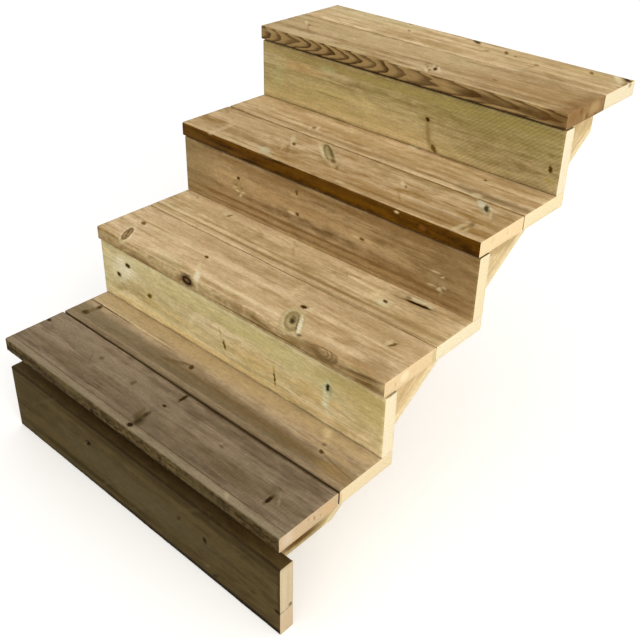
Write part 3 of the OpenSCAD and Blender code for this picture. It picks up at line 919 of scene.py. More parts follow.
# %% Second step, front board: the largest knots
describe(
    "tread_2_front_board", seed=7, face=("#E1C69E", "#A58759"), edge=("#D4BA89", "#8F6F3C"),
    end=("#E8CFA4", "#D3B384"), knot=("#3E280C", "#82683C", "#E0D2AA"), cast="#BFA172", heart=(110.0, -24.0),
    drift=-0.02, blotch=0.22, wider=2.8,
    end_marks=[
        end_stain(56, 18, 12, 10, "#F6E6BE", 0.8), end_stain(141, 16, 5, 18, "#C9B98A", 0.8),
        end_stain(30, 14, 3, 5, "#C29E70"),
    ],
    marks=[
        stain_and_shade(778, 24, 50, 26, "#8C7042", 0.7), stain_and_shade(660, 130, 150, 12, "#A2855A", 0.4),
        stain_and_shade(250, 72, 150, 11, "#DCC397", 0.4), stain_and_shade(440, 44, 170, 13, "#D8BE94", 0.4),
        stain_and_shade(400, 120, 430, 24, "#B4966A", 0.45), stain_and_shade(260, 84, 240, 5, "#E0C89B", 0.75),
        stain_and_shade(680, 84, 150, 4.5, "#DCC396", 0.7), stain_and_shade(200, 20, 60, 5, "#E4D2A6", 0.7),
        stain_and_shade(420, 24, 110, 6, "#E4CFA2", 0.8), stain_and_shade(250, 12, 50, 8, "#B0A06C"),
        stain_and_shade(680, 60, 160, 6, "#A58657"), stain_and_shade(720, 10, 120, 12, "#A07F4E", 0.7),
        stain_and_shade(740, 116, 110, 20, "#A98C5C", 0.5), stain_and_shade(505, 116, 9, 40, "#D8C092", 0.55),
        knot(76, 26, 26, 8.5, -60, "oval", body="#8E7044", core="#5F4422", halo="#E0CDA0", deep=12),
        stain_and_shade(70, 34, 9, 3, "#50361A", 0.8, -60), stain_and_shade(82, 18, 6, 3, "#50361A", 0.8, -50),
        stain_and_shade(93, 20, 16, 3, "#E4D3A6", 0.8, -60), knot(61, 82, 10, 5, -35, "hole", core="#7A5C2E"),
        stain_and_shade(48, 86, 10, 4, "#D8C296", 0.7), knot(276, 78, 6.5, 4, -25, "hole", core="#5F4420"),
        stain_and_shade(289, 73, 8, 4, "#DCC798", 0.8), stain_and_shade(569, 82, 7, 6, "#DCC89C", 0.8),
        knot(555, 80, 8.5, 5.5, 0, "hole", core="#402A0B"), ring(573, 28, 42, 23, "#9A8655", 0.6, -52),
        knot(573, 29, 32, 15, -52, "oval", body="#A29364", core="#857547", halo="#C9B98B", deep=8),
        stain_and_shade(594, 27, 32, 4.5, "#EADFBC", 0.95, -54), stain_and_shade(570, 34, 15, 6.5, "#5A4722", 0.9, -52),
        stain_and_shade(573, 28, 8, 4.5, "#33220C", 0.95, -50), stain_and_shade(587, 27, 28, 1.6, "#5A4824", 0.8, -54),
        stain_and_shade(614, 4, 6, 4, "#3E2E14", 0.9), stain_and_shade(300, 34, 30, 4, "#DCC799", 0.75, -52),
        stain_and_shade(322, 12, 22, 6.5, "#E8DCB8", 0.95, -48), stain_and_shade(296, 2, 20, 3, "#6A5226", 0.7),
        knot(757, 100, 11, 4, 62, "hole", core="#6E5228", body="#96794A"),
        stain_and_shade(748, 100, 5, 12, "#D5C094", 0.7),
        knot(303, 0, 17, 9, 0, "hole", core="#2A1808", body="#4A3014", z=19, deep=11.5),
        edge_patch_and_shade(303, 19, 7.5, 4.5, "#80603A", 0.9, wide=8),
        edge_patch_and_shade(334, 18, 6, 14, "#D8C698", 0.8, wide=5), edge_patch_and_shade(278, 16, 8, 10, "#6A5026", wide=5),
        edge_patch_and_shade(30, 22, 26, 6, "#BFAA7E", 0.7, wide=5), edge_patch_and_shade(520, 7, 200, 2, "#5F451D", 0.85),
        edge_patch_and_shade(140, 5, 130, 2.5, "#7A6034"), edge_patch_and_shade(780, 18, 38, 14, "#64481E", 0.75, wide=8),
        edge_patch_and_shade(770, 23, 50, 3, "#5A4018", 0.85, wide=7, tilt=-7),
        edge_patch_and_shade(790, 8, 40, 5, "#6A4A1E", 0.7), edge_patch_and_shade(690, 20, 62, 9, "#82673C", 0.65),
        ring(676, 0, 14, 5, "#5A4220", 0.7, z=27, deep=9),
        ring(678, 0, 22, 6, "#5A4220", 0.7, z=28, deep=15),
        ring(680, 0, 30, 6, "#5A4220", 0.65, z=29, deep=21), edge_patch_and_shade(652, 26, 26, 13, "#8A6E44", 0.9),
        edge_patch_and_shade(780, 16, 50, 1.6, "#B99C68", wide=5, tilt=-7),
    ],
)

# %% Second step, rear board
describe(
    "tread_2_rear_board", seed=8, face=("#E8CFA2", "#A98E5B"), edge=("#A98C5E", "#6E5029"),
    end=("#F1E5C4", "#DCCB9C"), knot=("#3A2408", "#7E5F33", "#DCCAA2"), cast="#B4966A", heart=(40.0, -35.0),
    marks=[
        stain_and_shade(130, 96, 150, 26, "#E2C89C", 0.65), stain_and_shade(500, 17, 320, 13, "#95784B", 0.4),
        stain_and_shade(720, 77, 100, 12, "#9A7D50", 0.35), stain_and_shade(340, 20, 420, 4, "#8F7145", 0.75),
        stain_and_shade(380, 38, 300, 4, "#A1824F"), stain_and_shade(250, 11, 220, 4, "#D2B88A", 0.7),
        stain_and_shade(600, 24, 200, 4, "#957647", 0.7), stain_and_shade(640, 4, 180, 4, "#7E6034", 0.7),
        stain_and_shade(600, 14, 160, 3, "#C9AC7C"), stain_and_shade(60, 56, 70, 5, "#A88A5C"),
        stain_and_shade(300, 60, 240, 8, "#C4A777", 0.5), stain_and_shade(760, 40, 80, 26, "#A98A58", 0.5),
        stain_and_shade(34, 112, 20, 3, "#DCC79C", 0.7, -40), stain_and_shade(48, 102, 8, 3, "#96774A", 0.6, -45),
        stain_and_shade(160, 94, 13, 7, "#E0CCA0", 0.9, -20), knot(172, 91, 3, 7, -10, "hole", core="#8A6C3E"),
        stain_and_shade(280, 82, 18, 5, "#AC8E60", 0.4, -30), stain_and_shade(352, 108, 26, 5, "#DDCA9E", 0.85, -35),
        stain_and_shade(372, 98, 16, 3, "#A08356", 0.5, -35), stain_and_shade(384, 78, 10, 4, "#9C7E50", 0.5, -45),
        stain_and_shade(398, 64, 7, 3, "#9C7E50", 0.5, -50), stain_and_shade(400, 88, 90, 20, "#D0B587", 0.4),
        stain_and_shade(760, 24, 80, 16, "#9C7D4C", 0.5), stain_and_shade(524, 90, 12, 6, "#D3BC8C", 0.7),
        stain_and_shade(537, 78, 8, 2.5, "#9A7C4C", 0.5, -50), stain_and_shade(590, 54, 50, 4, "#D8C193", 0.8),
        stain_and_shade(646, 60, 20, 5, "#D8C89C", 0.8, -30), stain_and_shade(652, 46, 14, 7, "#D8D2AE", 0.8, -20),
        stain_and_shade(664, 62, 8, 4, "#CFC79E", 0.7, -20),
        knot(655, 56, 6, 4, -30, "hole", core="#5F4722", body="#8A7448"),
        stain_and_shade(700, 103, 34, 5, "#E4D8B4", 0.95, 4), stain_and_shade(668, 100, 10, 8, "#C9B78C", 0.7),
        stain_and_shade(734, 98, 14, 4, "#DCCFAA", 0.8, -30), stain_and_shade(680, 98, 8, 6, "#6A5228", 0.7, -30),
        knot(708, 91, 33, 4.2, 4, "hole", core="#2A1404", body="#6A4E26"),
        stain_and_shade(690, 109, 24, 1.5, "#7A6238", 0.6, 6), stain_and_shade(660, 86, 16, 3, "#8E7144", 0.7),
        stain_and_shade(700, 120, 30, 5, "#A89A72"),
    ],
)

# %% Second riser: green from the treatment
describe(
    "riser_2", seed=9, face=("#F0DBAD", "#B7A06B"), edge=("#A08A58", "#6D5630"), end=("#F0E4C4", "#DDCDA2"),
    knot=("#33260A", "#8D7B47", "#C9C08F"), cast="#C9BB82", cloud=0.5, lift=1.4, heart=(30.0, -45.0),
    grain=0.15, streak=0.5, run=0.17, line=0.09, mottle=0.38,
    end_marks=[end_stain(138, 16, 3, 30, "#4A3A1A", 0.9)],
    marks=[
        stain_and_shade(750, 108, 110, 28, "#927E4A"), stain_and_shade(770, 40, 60, 13, "#A08A54", 0.5),
        # the near-black line at the very top, 139 mm up, is painted shade under the nosing of the tread
        # above
        stain_and_shade(190, 16, 190, 15, "#E0D09E"), stain_and_shade(410, 139, 900, 3.5, "#3E2C10", 0.9, z=16, deep=30),
        stain_and_shade(80, 98, 40, 26, "#D9D0B4", 0.9), stain_and_shade(58, 76, 34, 24, "#D0C8A6", 0.85),
        stain_and_shade(110, 118, 44, 10, "#C6BF94", 0.7), stain_and_shade(52, 30, 16, 6, "#9A8F5C", 0.5, 20),
        stain_and_shade(104, 46, 18, 5, "#9C8E58", 0.5, -25), stain_and_shade(140, 64, 14, 4, "#94864F", 0.5, -20),
        stain_and_shade(70, 50, 10, 4, "#8F8450", 0.5), stain_and_shade(250, 131, 300, 6, "#C9C092"),
        stain_and_shade(770, 118, 80, 14, "#93844E"), stain_and_shade(30, 60, 30, 60, "#BDB486", 0.5),
        stain_and_shade(300, 112, 200, 22, "#BFB47E"), stain_and_shade(560, 104, 180, 22, "#B9AC74"),
        stain_and_shade(780, 96, 60, 40, "#AD9862"), stain_and_shade(490, 52, 80, 22, "#BE9F62", 0.5),
        stain_and_shade(640, 56, 60, 20, "#C3A66C", 0.5), stain_and_shade(240, 44, 120, 8, "#C6AE72", 0.5),
        stain_and_shade(300, 12, 280, 5, "#CDB47A", 0.7), stain_and_shade(300, 3, 320, 3, "#A88C56"),
        stain_and_shade(660, 18, 160, 5, "#B89C64", 0.5), knot(93, 106, 9, 6, 0, "hole"),
        knot(57, 70, 8, 6, 0, "hole", core="#3E300E"), stain_and_shade(164, 58, 16, 11, "#B6A468"),
        knot(164, 59, 8, 6, 20, "hole", core="#5A4A16"), stain_and_shade(130, 48, 44, 2.5, "#A08A52", 0.5, -25),
        stain_and_shade(392, 72, 3, 12, "#A58E58", 0.7, 12), stain_and_shade(403, 46, 12, 16, "#B2A066", 0.5),
        knot(403, 46, 3.6, 11, 14, "hole", core="#614B1C", body="#8A7440"),
        stain_and_shade(547, 36, 9, 22, "#B2A066", 0.5),
        knot(547, 38, 2.8, 17, 6, "hole", core="#5F4A1C", body="#8A7440"), stain_and_shade(545, 60, 3, 10, "#9C8550"),
        stain_and_shade(684, 90, 14, 19, "#B9BC9A", 0.65), stain_and_shade(688, 86, 9, 11, "#7E7C52", 0.75),
        stain_and_shade(682, 64, 8, 22, "#C4C39C", 0.7),
        knot(685, 89, 4.5, 8.5, -10, "hole", core="#262010", body="#5A5632"),
        stain_and_shade(679, 46, 9, 6, "#CFD0B0", 0.7), stain_and_shade(686, 30, 8, 5, "#C6C49C"),
        stain_and_shade(708, 58, 12, 8, "#C6AC74", 0.5), stain_and_shade(536, 74, 30, 2, "#A18E56", 0.7),
        stain_and_shade(536, 68, 24, 2, "#CDBB84"),
    ],
)

# %% First step, front board: weathered grey, and darker still from painted shade over the lowest step
describe(
    "tread_1_front_board", seed=10, face=("#948169", "#5C4936"), edge=("#6A5835", "#271907"),
    end=("#CDB592", "#A98A63"), knot=("#261A08", "#564427", "#9A8763"), cast="#7C6F57", cloud=0.4,
    heart=(70.0, -45.0), grain=0.12, streak=0.55, run=0.2, line=0.1, blotch=0.75,
    ripples=dict(turn=2, pitch=7.0, from_to=(560.0, 720.0), shade=0.06),
    end_marks=[
        end_stain(20, 18, 14, 14, "#D6C4AC", 0.8), end_stain(84, 18, 2, 5, "#8A6238", 0.8),
        end_stain(100, 14, 2, 2, "#94704A", 0.8), end_stain(70, 25, 2, 2, "#8A6238", 0.7),
        end_stain(118, 16, 16, 14, "#D2AE80", 0.7),
    ],
    marks=[
        stain_and_shade(460, 28, 190, 24, "#4E402A", 0.5), stain_and_shade(765, 130, 45, 13, "#54462F", 0.5),
        stain_and_shade(90, 118, 110, 26, "#93836B", 0.4), edge_patch_and_shade(350, 24, 150, 6, "#3A2C12", 0.4),
        stain_and_shade(450, 149, 520, 5, "#241806", 0.8, z=12, deep=17), stain_and_shade(240, 50, 280, 17, "#6A5A42"),
        stain_and_shade(160, 44, 110, 6, "#775F40", 0.35), stain_and_shade(180, 96, 230, 16, "#8C7C64"),
        stain_and_shade(600, 92, 200, 14, "#86765E", 0.5), stain_and_shade(660, 58, 170, 22, "#67563C"),
        stain_and_shade(620, 120, 200, 10, "#6F5F47", 0.5), stain_and_shade(410, 6, 900, 9, "#918368", 0.7, deep=4),
        stain_and_shade(620, 17, 260, 1.6, "#4E3C22", 0.7), stain_and_shade(180, 17, 240, 1.6, "#53442C", 0.7),
        stain_and_shade(600, 143, 230, 2.5, "#3E2E16", 0.85),
        knot(429, 131, 4.5, 15, 6, "hole", core="#33260E", body="#574B34"),
        knot(421, 89, 5, 3.5, -10, "hole", core="#33260E", body="#574B34"),
        stain_and_shade(416, 48, 5, 14, "#33260C", 0.95, 8), stain_and_shade(414, 33, 12, 10, "#4A3E22", 0.9, 20),
        stain_and_shade(424, 24, 9, 11, "#4E4226", 0.85), stain_and_shade(404, 40, 7, 9, "#5A4A2C", 0.7),
        stain_and_shade(420, 26, 6, 10, "#2C220C", 0.8), knot(417, 10, 7, 6, 0, "hole"),
        stain_and_shade(402, 50, 5, 12, "#5A4A2C", 0.6, 14), knot(206, 99, 7, 6, 0, "smudge"),
        knot(320, 92, 6, 8, 0, "smudge"), stain_and_shade(190, 84, 20, 2, "#6B5A40", 0.6, -50),
        knot(5, 104, 9, 4, 0, "hole", core="#3A2C14"), stain_and_shade(28, 98, 20, 3, "#6B5A40", 0.5, -30),
        knot(586, 87, 7, 4, -30, "smudge"), stain_and_shade(580, 92, 5, 4, "#A3937A"),
        knot(744, 53, 3.8, 14, 0, "hole", core="#2A1D08"), stain_and_shade(740, 72, 12, 12, "#5E5238"),
        knot(742, 83, 7, 3, -10, "smudge"), stain_and_shade(750, 76, 8, 2, "#9C8D72", 0.5, -50),
        stain_and_shade(710, 86, 18, 2, "#9C8D72"), stain_and_shade(760, 60, 10, 2.5, "#95866B", 0.6, -55),
        stain_and_shade(685, 9, 9, 4, "#AE9E82", 0.8, -30), stain_and_shade(660, 40, 60, 16, "#5C4B30", 0.4),
        knot(306, 0, 9, 6, 0, "hole", z=5, deep=8), edge_patch_and_shade(220, 22, 60, 8, "#6A5B38"),
        edge_patch_and_shade(620, 12, 60, 10, "#5F5232"), edge_patch_and_shade(780, 16, 50, 14, "#33260C"),
    ],
)

# %% First step, rear board
describe(
    "tread_1_rear_board", seed=11, face=("#C1AB8B", "#856C53"), edge=("#43341A", "#2A1D0C"),
    end=("#EBDAB4", "#D2B985"), knot=("#3A2A0C", "#5F4C2A", "#B09A6E"), cast="#A08C68", cloud=0.3, lift=1.15,
    heart=(70.0, -60.0), grain=0.13, streak=0.45,
    checks=[check(71, 0, 150, 3.0)],
    end_marks=[end_stain(2, 16, 4, 14, "#C9A878")],
    marks=[
        stain_and_shade(50, 86, 62, 26, "#C2AC88"), stain_and_shade(560, 17, 200, 13, "#665238", 0.35),
        # the broad grey-brown band over the front of the board is partly painted shade, spreading back from
        # the front of the lowest step
        stain_and_shade(360, 26, 620, 30, "#6C5D43", 0.95), stain_and_shade(110, 44, 170, 12, "#82745A", 0.7),
        stain_and_shade(400, 98, 640, 24, "#B29C70", 0.8), stain_and_shade(190, 73, 110, 2.5, "#D2BC90", 0.85),
        stain_and_shade(520, 42, 240, 12, "#6E5A38", 0.5), stain_and_shade(760, 62, 90, 8, "#A58C5E", 0.5),
        stain_and_shade(55, 71, 66, 1.8, "#33230A", 0.95), stain_and_shade(125, 71, 30, 1.5, "#57401C", 0.9),
        stain_and_shade(55, 76, 60, 2, "#C9B286"), stain_and_shade(470, 42, 200, 3, "#6B573A", 0.7),
        stain_and_shade(560, 36, 160, 3, "#6B573A"), stain_and_shade(300, 13, 360, 3, "#94846A"),
        stain_and_shade(480, 2, 500, 3, "#57452C"), knot(44, 62, 6, 8, 20, "hole", core="#4A3818"),
        knot(37, 30, 10, 8, 10, "hole", core="#453616", body="#5F5236"),
        stain_and_shade(41, 46, 6, 14, "#6B5836", 0.8), stain_and_shade(322, 47, 34, 6, "#64502E", 0.75, 16),
        stain_and_shade(345, 58, 14, 3, "#5F4A28", 0.8, 10), knot(363, 58, 8, 5, -50, "hole", core="#4A3818"),
        stain_and_shade(702, 98, 16, 9, "#CFBC92", 0.7, -42), stain_and_shade(716, 80, 9, 6, "#C3AC7E"),
        knot(718, 72, 6, 5, 0, "smudge"), knot(727, 54, 6, 4, -30, "hole", core="#4F3A18"),
        stain_and_shade(660, 30, 150, 11, "#6E5B3A"), stain_and_shade(690, 32, 60, 8, "#6B5632", 0.5),
        stain_and_shade(650, 22, 30, 6, "#665A40", 0.5), stain_and_shade(780, 30, 40, 22, "#8E744A", 0.8),
        stain_and_shade(770, 44, 50, 2, "#5F4A28", 0.5, -10),
    ],
)

# %% First riser: dark wood, made darker by painted shade under the first tread, and darker towards its foot
describe(
    "riser_1", seed=12, face=("#5B4C2C", "#362914"), edge=("#402D12", "#281A08"), end=("#D0C0A0", "#B29D78"),
    knot=("#1E1204", "#3A2C12", "#5E5236"), cast="#54482B", cloud=0.5, lift=0.95, heart=(70.0, -28.0),
    grain=0.2, streak=0.35,
    checks=[check(55, 820, 50, 4.0)],
    end_marks=[
        end_stain(55, 16, 1.3, 30, "#6E5836", 0.9), end_stain(61, 7, 4, 4.5, "#3E2A12", 0.95),
        end_stain(25, 14, 26, 30, "#D0B695", 0.7), end_stain(110, 22, 60, 4, "#DCC8A8", 0.5),
        end_stain(105, 13, 60, 2, "#BFA57E", 0.4), end_stain(161, 16, 6, 20, "#B59D78", 0.5),
    ],
    marks=[
        # painted shade: the dark top face and top arris and the dark bands across the top of the face stand
        # for the shade under the first tread; the bands along the foot make it darker towards the bottom
        stain_and_shade(410, 166, 900, 5, "#4A3012", 0.95, z=6, deep=26), stain_and_shade(410, 160, 900, 3, "#22140A", 0.8),
        stain_and_shade(600, 150, 420, 13, "#33260F"), stain_and_shade(200, 150, 220, 9, "#4A3A1C"),
        stain_and_shade(250, 27, 230, 8, "#3A2F12", 0.8), stain_and_shade(600, 4, 420, 8, "#1E1406", 0.95),
        stain_and_shade(820, 3, 200, 7, "#140C02", 0.8), stain_and_shade(420, 76, 240, 30, "#5E533A"),
        stain_and_shade(60, 109, 80, 40, "#4A3D20", 0.5), knot(272, 109, 10, 6, 25, "hole", core="#231304"),
        stain_and_shade(256, 97, 16, 2.5, "#6A4A2E", 0.6, 45), stain_and_shade(262, 101, 14, 2, "#7A6648", 0.5, 50),
        knot(627, 91, 5, 7, 0, "hole", core="#2A1F0A"), knot(555, 97, 9, 4, 50, "smudge"),
        knot(752, 56, 7, 4, 20, "smudge"), stain_and_shade(632, 29, 10, 4, "#6E5F48", 0.6, 40),
        stain_and_shade(652, 19, 9, 4, "#241A08", 0.7, 40), knot(815, 55, 10, 4, 0, "hole", core="#241804"),
        stain_and_shade(816, 100, 3, 50, "#3A2A10", 0.7), stain_and_shade(120, 130, 90, 4, "#5E5236", 0.4, 35),
        stain_and_shade(560, 120, 90, 5, "#5E5236", 0.4, 35), stain_and_shade(700, 110, 60, 4, "#5E5236", 0.4, 40),
        stain_and_shade(460, 60, 70, 4, "#645840", 0.4, 38), stain_and_shade(330, 37, 60, 3, "#5E5234", 0.5, 40),
    ],
)

# %% [markdown]
# ## Sawing the boards
# A riser is the same plank as a tread board, stood on its edge. So each board is built lying down,
# with its best face up, and a riser is then turned up about its length. The material reads the
# plank's own coordinates, so the grain runs along every board, whichever way it is fixed.


# %% Build one board where its solid is
def place_mesh(name, mesh, material):
    """Puts a mesh with its material in the scene, smoothly shaded."""
    mesh.shade_smooth()
    mesh.materials.append(material)
    made = bpy.data.objects.new(name, mesh)
    bpy.context.collection.objects.link(made)
    return made


def mesh_of(name, points, faces):
    """A mesh of points, mm, and faces."""
    mesh = bpy.data.meshes.new(name)
    mesh.from_pydata((points * MM).tolist(), [], faces)
    mesh.update()
    return mesh


def saw_board(node, look, stood_up):
    """The dressed board for one node, as large as its solid and where that is."""
    low, high = (np.array(v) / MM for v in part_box(node))
    length, deep, tall = high - low
    size = (length, tall, deep) if stood_up else (length, deep + look["wider"], tall)
    points, faces = plank_points(size, look["checks"])
    points, normal = ease_edges(points, size, np.array([END_EASE, ARRIS, ARRIS]))
    mesh = mesh_of(node + "_plank", press(points, normal, look), faces)
    board = place_mesh(node + "_plank", mesh, treated_pine("Treated_pine_" + node, look))
    if stood_up:
        turn = Matrix.Rotation(math.radians(90), 4, "X")
        board.matrix_world = Matrix.Translation((low[0] * MM, high[1] * MM, low[2] * MM)) @ turn
    else:
        board.matrix_world = Matrix.Translation(low * MM)
    return board


for node, look in LOOKS.items():
    is_riser = node.startswith("riser")
    board = saw_board(node, look, is_riser)
    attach(board, "root")
    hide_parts(node)
print("boards sawn:", len(LOOKS))

# %% [markdown]
# ## The stringers
# A cut stringer starts as a straight plank laid along the slope. The saw takes out one notch for each
# step, a level cut for the tread and a plumb cut for the riser, then a level foot and a plumb end.
# Here the outline is laid out the same way from the places of the boards, filled with one face and
# given its thickness. Its edges are eased, and a set of straight cuts through the whole plank then
# gives it a grid that can be worn, as the boards have.

# %% Lay out the sawtooth
STEPS = 4


def sawtooth(node):
    """The notched upper outline of a stringer, from the front up, as depths and heights, mm."""
    low, high = (np.array(v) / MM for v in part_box(node))
    corners = []
    front = low[1]
    for number in range(1, STEPS + 1):
        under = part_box(f"tread_{number}_front_board")[0][2] / MM
        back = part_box(f"riser_{number + 1}")[1][1] / MM if number < STEPS else high[1]
        corners += [(front, under), (back, under)]
        front = back
    return corners


teeth = sawtooth("right_stringer")
rise = teeth[2][1] - teeth[0][1]
going = teeth[4][0] - teeth[2][0]
slope = math.atan2(rise, going)
print("sawtooth:", len(teeth), "corners; slope", round(math.degrees(slope), 1), "degrees")

# %% Lay the straight plank under it
STRINGER_PLANK = 220.0  # width of the plank it was cut from, mm
SPARE = 60              # length of plank in front of the first cut, mm


def lay_plank(node):
    """Where the straight plank of a stringer starts, its axes, and the stringer's side outline."""
    low, high = (np.array(v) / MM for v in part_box(node))
    corners = sawtooth(node)
    along = Vector((0, math.cos(slope), math.sin(slope)))
    across = Vector((0, -math.sin(slope), math.cos(slope)))
    # a tooth's tip lies on the plank's upper edge
    tip = Vector((low[0], corners[1][0], corners[2][1]))
    start = Vector((low[0], low[1], 0)) - along * SPARE
    start += across * ((tip - start).dot(across) - STRINGER_PLANK)
    # the foot and the wall end: where the plank's lower edge meets the level and plumb cuts
    rise_per_going = math.tan(slope)
    foot = start.y + (low[2] - start.z) / rise_per_going
    heel = start.z + (high[1] - start.y) * rise_per_going
    outline = corners + [(high[1], heel), (foot, low[2]), (low[1], low[2])]
    return start, Matrix((along, across, (1, 0, 0))).transposed(), outline


print("the right plank starts at", [round(v) for v in lay_plank("right_stringer")[0]], "mm")

# %% Cut the stringer's shape and its grid
STRINGER_GRID = 12.0    # spacing of the grid, mm
STRINGER_LAYERS = 5     # cells through the thickness
STRINGER_ARRIS = 3.0    # radius of the planed lower arrises, mm
SAWN_EASE = 0.7         # how far the sawn edges are eased, mm
SAWN_TURN = 1.0         # an edge that turns more than this is the saw's, radians


def cut_through(shape, point, direction):
    """Cuts a whole shape with a flat cut that adds edges and removes nothing."""
    everything = shape.verts[:] + shape.edges[:] + shape.faces[:]
    bmesh.ops.bisect_plane(shape, geom=everything, plane_co=point, plane_no=direction, dist=1e-5)


def cut_shape(outline, thick):
    """The solid of an outline: x along the plank, y across it and z through it, mm. Its lower
    arrises are planed round, its sawn edges eased, and its faces have a grid."""
    shape = bmesh.new()
    face = shape.faces.new([shape.verts.new(p) for p in outline])
    raised = bmesh.ops.extrude_face_region(shape, geom=[face])
    bmesh.ops.translate(shape, verts=[v for v in raised["geom"] if isinstance(v, bmesh.types.BMVert)],
                        vec=(0, 0, thick))
    bmesh.ops.recalc_face_normals(shape, faces=shape.faces[:])
    lower = [e for e in shape.edges if all(abs(v.co.y) < 0.01 for v in e.verts)
             and abs(e.verts[0].co.z - e.verts[1].co.z) < 0.01]
    bmesh.ops.bevel(shape, geom=lower, offset=STRINGER_ARRIS, offset_type="OFFSET", segments=3,
                    profile=0.5, affect="EDGES")
    sawn = [e for e in shape.edges if e.calc_face_angle(0) > SAWN_TURN]
    bmesh.ops.bevel(shape, geom=sawn, offset=SAWN_EASE, offset_type="OFFSET", segments=1,
                    affect="EDGES")
    length = max(v.co.x for v in shape.verts)
    for i in range(1, int(length / STRINGER_GRID) + 1):
        cut_through(shape, (i * STRINGER_GRID, 0, 0), (1, 0, 0))
    for i in range(1, int(STRINGER_PLANK / STRINGER_GRID) + 1):
        cut_through(shape, (0, i * STRINGER_GRID, 0), (0, 1, 0))
    for i in range(1, STRINGER_LAYERS):
        cut_through(shape, (0, 0, thick * i / STRINGER_LAYERS), (0, 0, 1))
    return shape


print("the grid has", round(1000 / STRINGER_GRID), "cells to a metre of plank")

# %% Wear it and stand it where its solid is
STRINGER_WORN = 0.14    # slow wear of the faces, and as much again of mean depth, mm
NICKED = 0.08           # and quick wear, mm
NICK_LONG = 9           # over what length the quick wear comes and goes, mm
SHARP = 40              # an edge that turns more than this isn't shaded as a round, degrees


def saw_stringer(node, look):
    """The dressed stringer for one node, with the grain along its slope."""
    low, high = (np.array(v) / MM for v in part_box(node))
    start, axes, outline = lay_plank(node)
    flat = [axes.transposed() @ (Vector((low[0], y, z)) - start) for y, z in outline]
    shape = cut_shape(flat, high[0] - low[0])
    shape.normal_update()
    for v in shape.verts:
        worn = noise.noise(v.co / UNEVEN_LONG + Vector((look["seed"] * 9.1, 0, 0)))
        nick = noise.noise(v.co / NICK_LONG + Vector((look["seed"] * 5.3, 0, 0)))
        v.co -= v.normal * max(0.0, STRINGER_WORN + STRINGER_WORN * worn + NICKED * nick)
    bmesh.ops.triangulate(shape, faces=[f for f in shape.faces if len(f.verts) > 4])
    # stood up in the room's own axes, so that its box is its true size
    bmesh.ops.transform(shape, matrix=axes.to_4x4() @ Matrix.Scale(MM, 4), verts=shape.verts[:])
    mesh = bpy.data.meshes.new(node + "_plank")
    shape.to_mesh(mesh)
    shape.free()
    # the material leans its own axes back along the plank
    look = dict(look, leaning=tuple(axes.to_euler()))
    made = place_mesh(node + "_plank", mesh, treated_pine("Treated_pine_" + node, look))
    mesh.set_sharp_from_angle(angle=math.radians(SHARP))
    made.matrix_world = Matrix.Translation(start * MM)
    return made


print("wear of a stringer: up to", round(2 * STRINGER_WORN + NICKED, 2), "mm")

# %% The two stringers, from one paler plank each
STRINGER_LOOKS = {
    "right_stringer": dict(
        PLAIN, seed=20, face=("#E6CFA2", "#C4A676"), edge=("#DFC69A", "#B99A6A"), cast="#CDB98A",
        cloud=0.2, heart=(150.0, -40.0), taper=0.008,
        # painted shade on the side under the overhanging ends of the third, fourth and first treads, with a
        # dark painted shadow line right under the first tread
        marks=[stain_and_shade(506, 52, 90, 14, "#B9A270", 0.75, -34, z=45, deep=30),
               stain_and_shade(823, 60, 130, 16, "#C9B17E", 0.6, -34, z=45, deep=30),
               stain_and_shade(-168, 44, 80, 26, "#A39565", 0.85, -36, z=45, deep=30),
               stain_and_shade(-192, 66, 56, 9.5, "#5E3605", 1.0, -36, z=45, deep=30),
               stain_and_shade(600, 4, 3000, 14, "#F3E2B8", 0.9, z=45, deep=200),
               knot(300, 60, 8, 6), knot(620, 45, 7, 5), knot(905, 70, 9, 6)],
    ),
    "left_stringer": dict(
        PLAIN, seed=21, face=("#DCC498", "#B6986A"), edge=("#D3BA8C", "#AA8C5E"), cloud=0.25,
        heart=(90.0, -50.0), marks=[knot(210, 50, 7, 6), knot(500, 62, 9, 6), knot(800, 48, 6, 5)],
    ),
}
for node, look in STRINGER_LOOKS.items():
    stringer = saw_stringer(node, look)
    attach(stringer, "root")
    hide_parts(node)
    print(node, "has", len(stringer.data.polygons), "faces")

# %% [markdown]
# ## Floor, light and camera
# The staircase stands on a plain pale floor that goes over into a white backdrop. A large soft lamp
# from above, on the right and a little in front, lights the sawn ends and rakes over the treads, and
# the sky fills the risers, so each plank shows three clear tones.

# %% Floor and backdrop
FLOOR_REACH = 9000   # from the middle of the floor to its edges, mm
PAPER_ROUGH = 0.9    # uncoated paper: a matt floor with no glare beside the wood
PAPER_SHINE = 0.1    # specular level
PAPER_GLOW = 0.3     # the eye sees the paper brighter than it lights the wood
FILL = 0.78          # how bright the sky is for everything but the eye and mirror images

floor_z = cad_low[2]
floor_corners = np.array([(x * FLOOR_REACH, y * FLOOR_REACH, floor_z / MM)
                          for x, y in ((-1, -1), (1, -1), (1, 1), (-1, 1))])
paper = bpy.data.materials.new("Matt_paper_floor")
paper.use_nodes = True
seen = add(paper.node_tree, "ShaderNodeLightPath").outputs["Is Camera Ray"]
glow = add(paper.node_tree, MATH, seen, PAPER_GLOW, operation="MULTIPLY")
fill(paper.node_tree, paper.node_tree.nodes["Principled BSDF"],
     {"Base Color": linear("#F2F1EF"), "Roughness": PAPER_ROUGH, "Specular IOR Level": PAPER_SHINE,
      "Emission Color": linear("#FFFFFF"), "Emission Strength": glow})
floor = place_mesh("studio_floor", mesh_of("studio_floor", floor_corners, [(0, 1, 2, 3)]), paper)

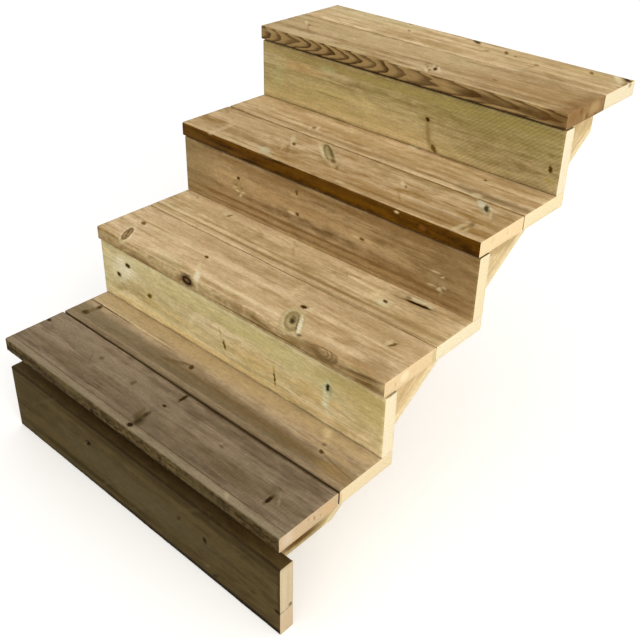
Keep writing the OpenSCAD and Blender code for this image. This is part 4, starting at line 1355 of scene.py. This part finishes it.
world = bpy.data.worlds.new("Studio")
bpy.context.scene.world = world
world.use_nodes = True
sky = world.node_tree
ray = add(sky, "ShaderNodeLightPath").outputs
mirrored = add(sky, MATH, ray["Is Glossy Ray"], ray["Is Transmission Ray"], operation="MAXIMUM")
to_eye = add(sky, MATH, ray["Is Camera Ray"], mirrored, operation="MAXIMUM")
strength = add(sky, MATH, to_eye, 1 - FILL, FILL, operation="MULTIPLY_ADD")
fill(sky, sky.nodes["Background"], {"Color": linear("#FFFFFF"), "Strength": strength})
print("floor at", round(floor_z, 3), "m; sky fill", FILL)

# %% Lamp
KEY_FROM = (3.3, -1.4, 2.5)   # place of the key lamp from the middle of the stair, m
KEY_SIZE = 2.2                # m
KEY_POWER = 75                # W
KEY_TINT = "#FFF6E6"


def soft_lamp(name, spot, towards, size, power, tint):
    """A square lamp at a spot, turned towards a place."""
    lamp = bpy.data.lights.new(name, "AREA")
    lamp.size = size
    lamp.energy = power
    lamp.color = linear(tint)[:3]
    holder = bpy.data.objects.new(name, lamp)
    bpy.context.collection.objects.link(holder)
    holder.location = spot
    holder.rotation_euler = (Vector(towards) - Vector(spot)).to_track_quat("-Z", "Y").to_euler()
    return holder


middle = (Vector(cad_low) + Vector(cad_high)) / 2
soft_lamp("key_lamp", middle + Vector(KEY_FROM), middle, KEY_SIZE, KEY_POWER, KEY_TINT)
print("key lamp aims at", [round(v, 2) for v in middle])

# %% Camera
FILM = 36                        # width of the film, mm
LENS = 51.73                     # mm
SHIFT = -0.0766                  # how far below the middle of the lens the picture is taken, in films
EYE = (1.4675, -1.799, 0.696)    # where the camera stands, m
VIEW = (41.786, 30.542, 1.315)   # how far it stands round to the right, how high, and its tip, degrees

camera_data = bpy.data.cameras.new("Camera")
camera_data.sensor_width = FILM
camera_data.lens = LENS
camera_data.shift_y = SHIFT
camera = bpy.data.objects.new("Camera", camera_data)
bpy.context.collection.objects.link(camera)
around, above, tip = (math.radians(v) for v in VIEW)
back = Vector((math.sin(around) * math.cos(above), -math.cos(around) * math.cos(above),
               math.sin(above)))
right = (-back).cross(Vector((0, 0, 1))).normalized()
up = right.cross(-back)
tipped_right = right * math.cos(tip) + up * math.sin(tip)
tipped_up = up * math.cos(tip) - right * math.sin(tip)
turn = Matrix((tipped_right, tipped_up, back)).transposed().to_4x4()
camera.matrix_world = Matrix.Translation(EYE) @ turn
bpy.context.scene.camera = camera
bpy.context.scene.view_settings.view_transform = "Standard"
print("lens", camera_data.lens, "mm")
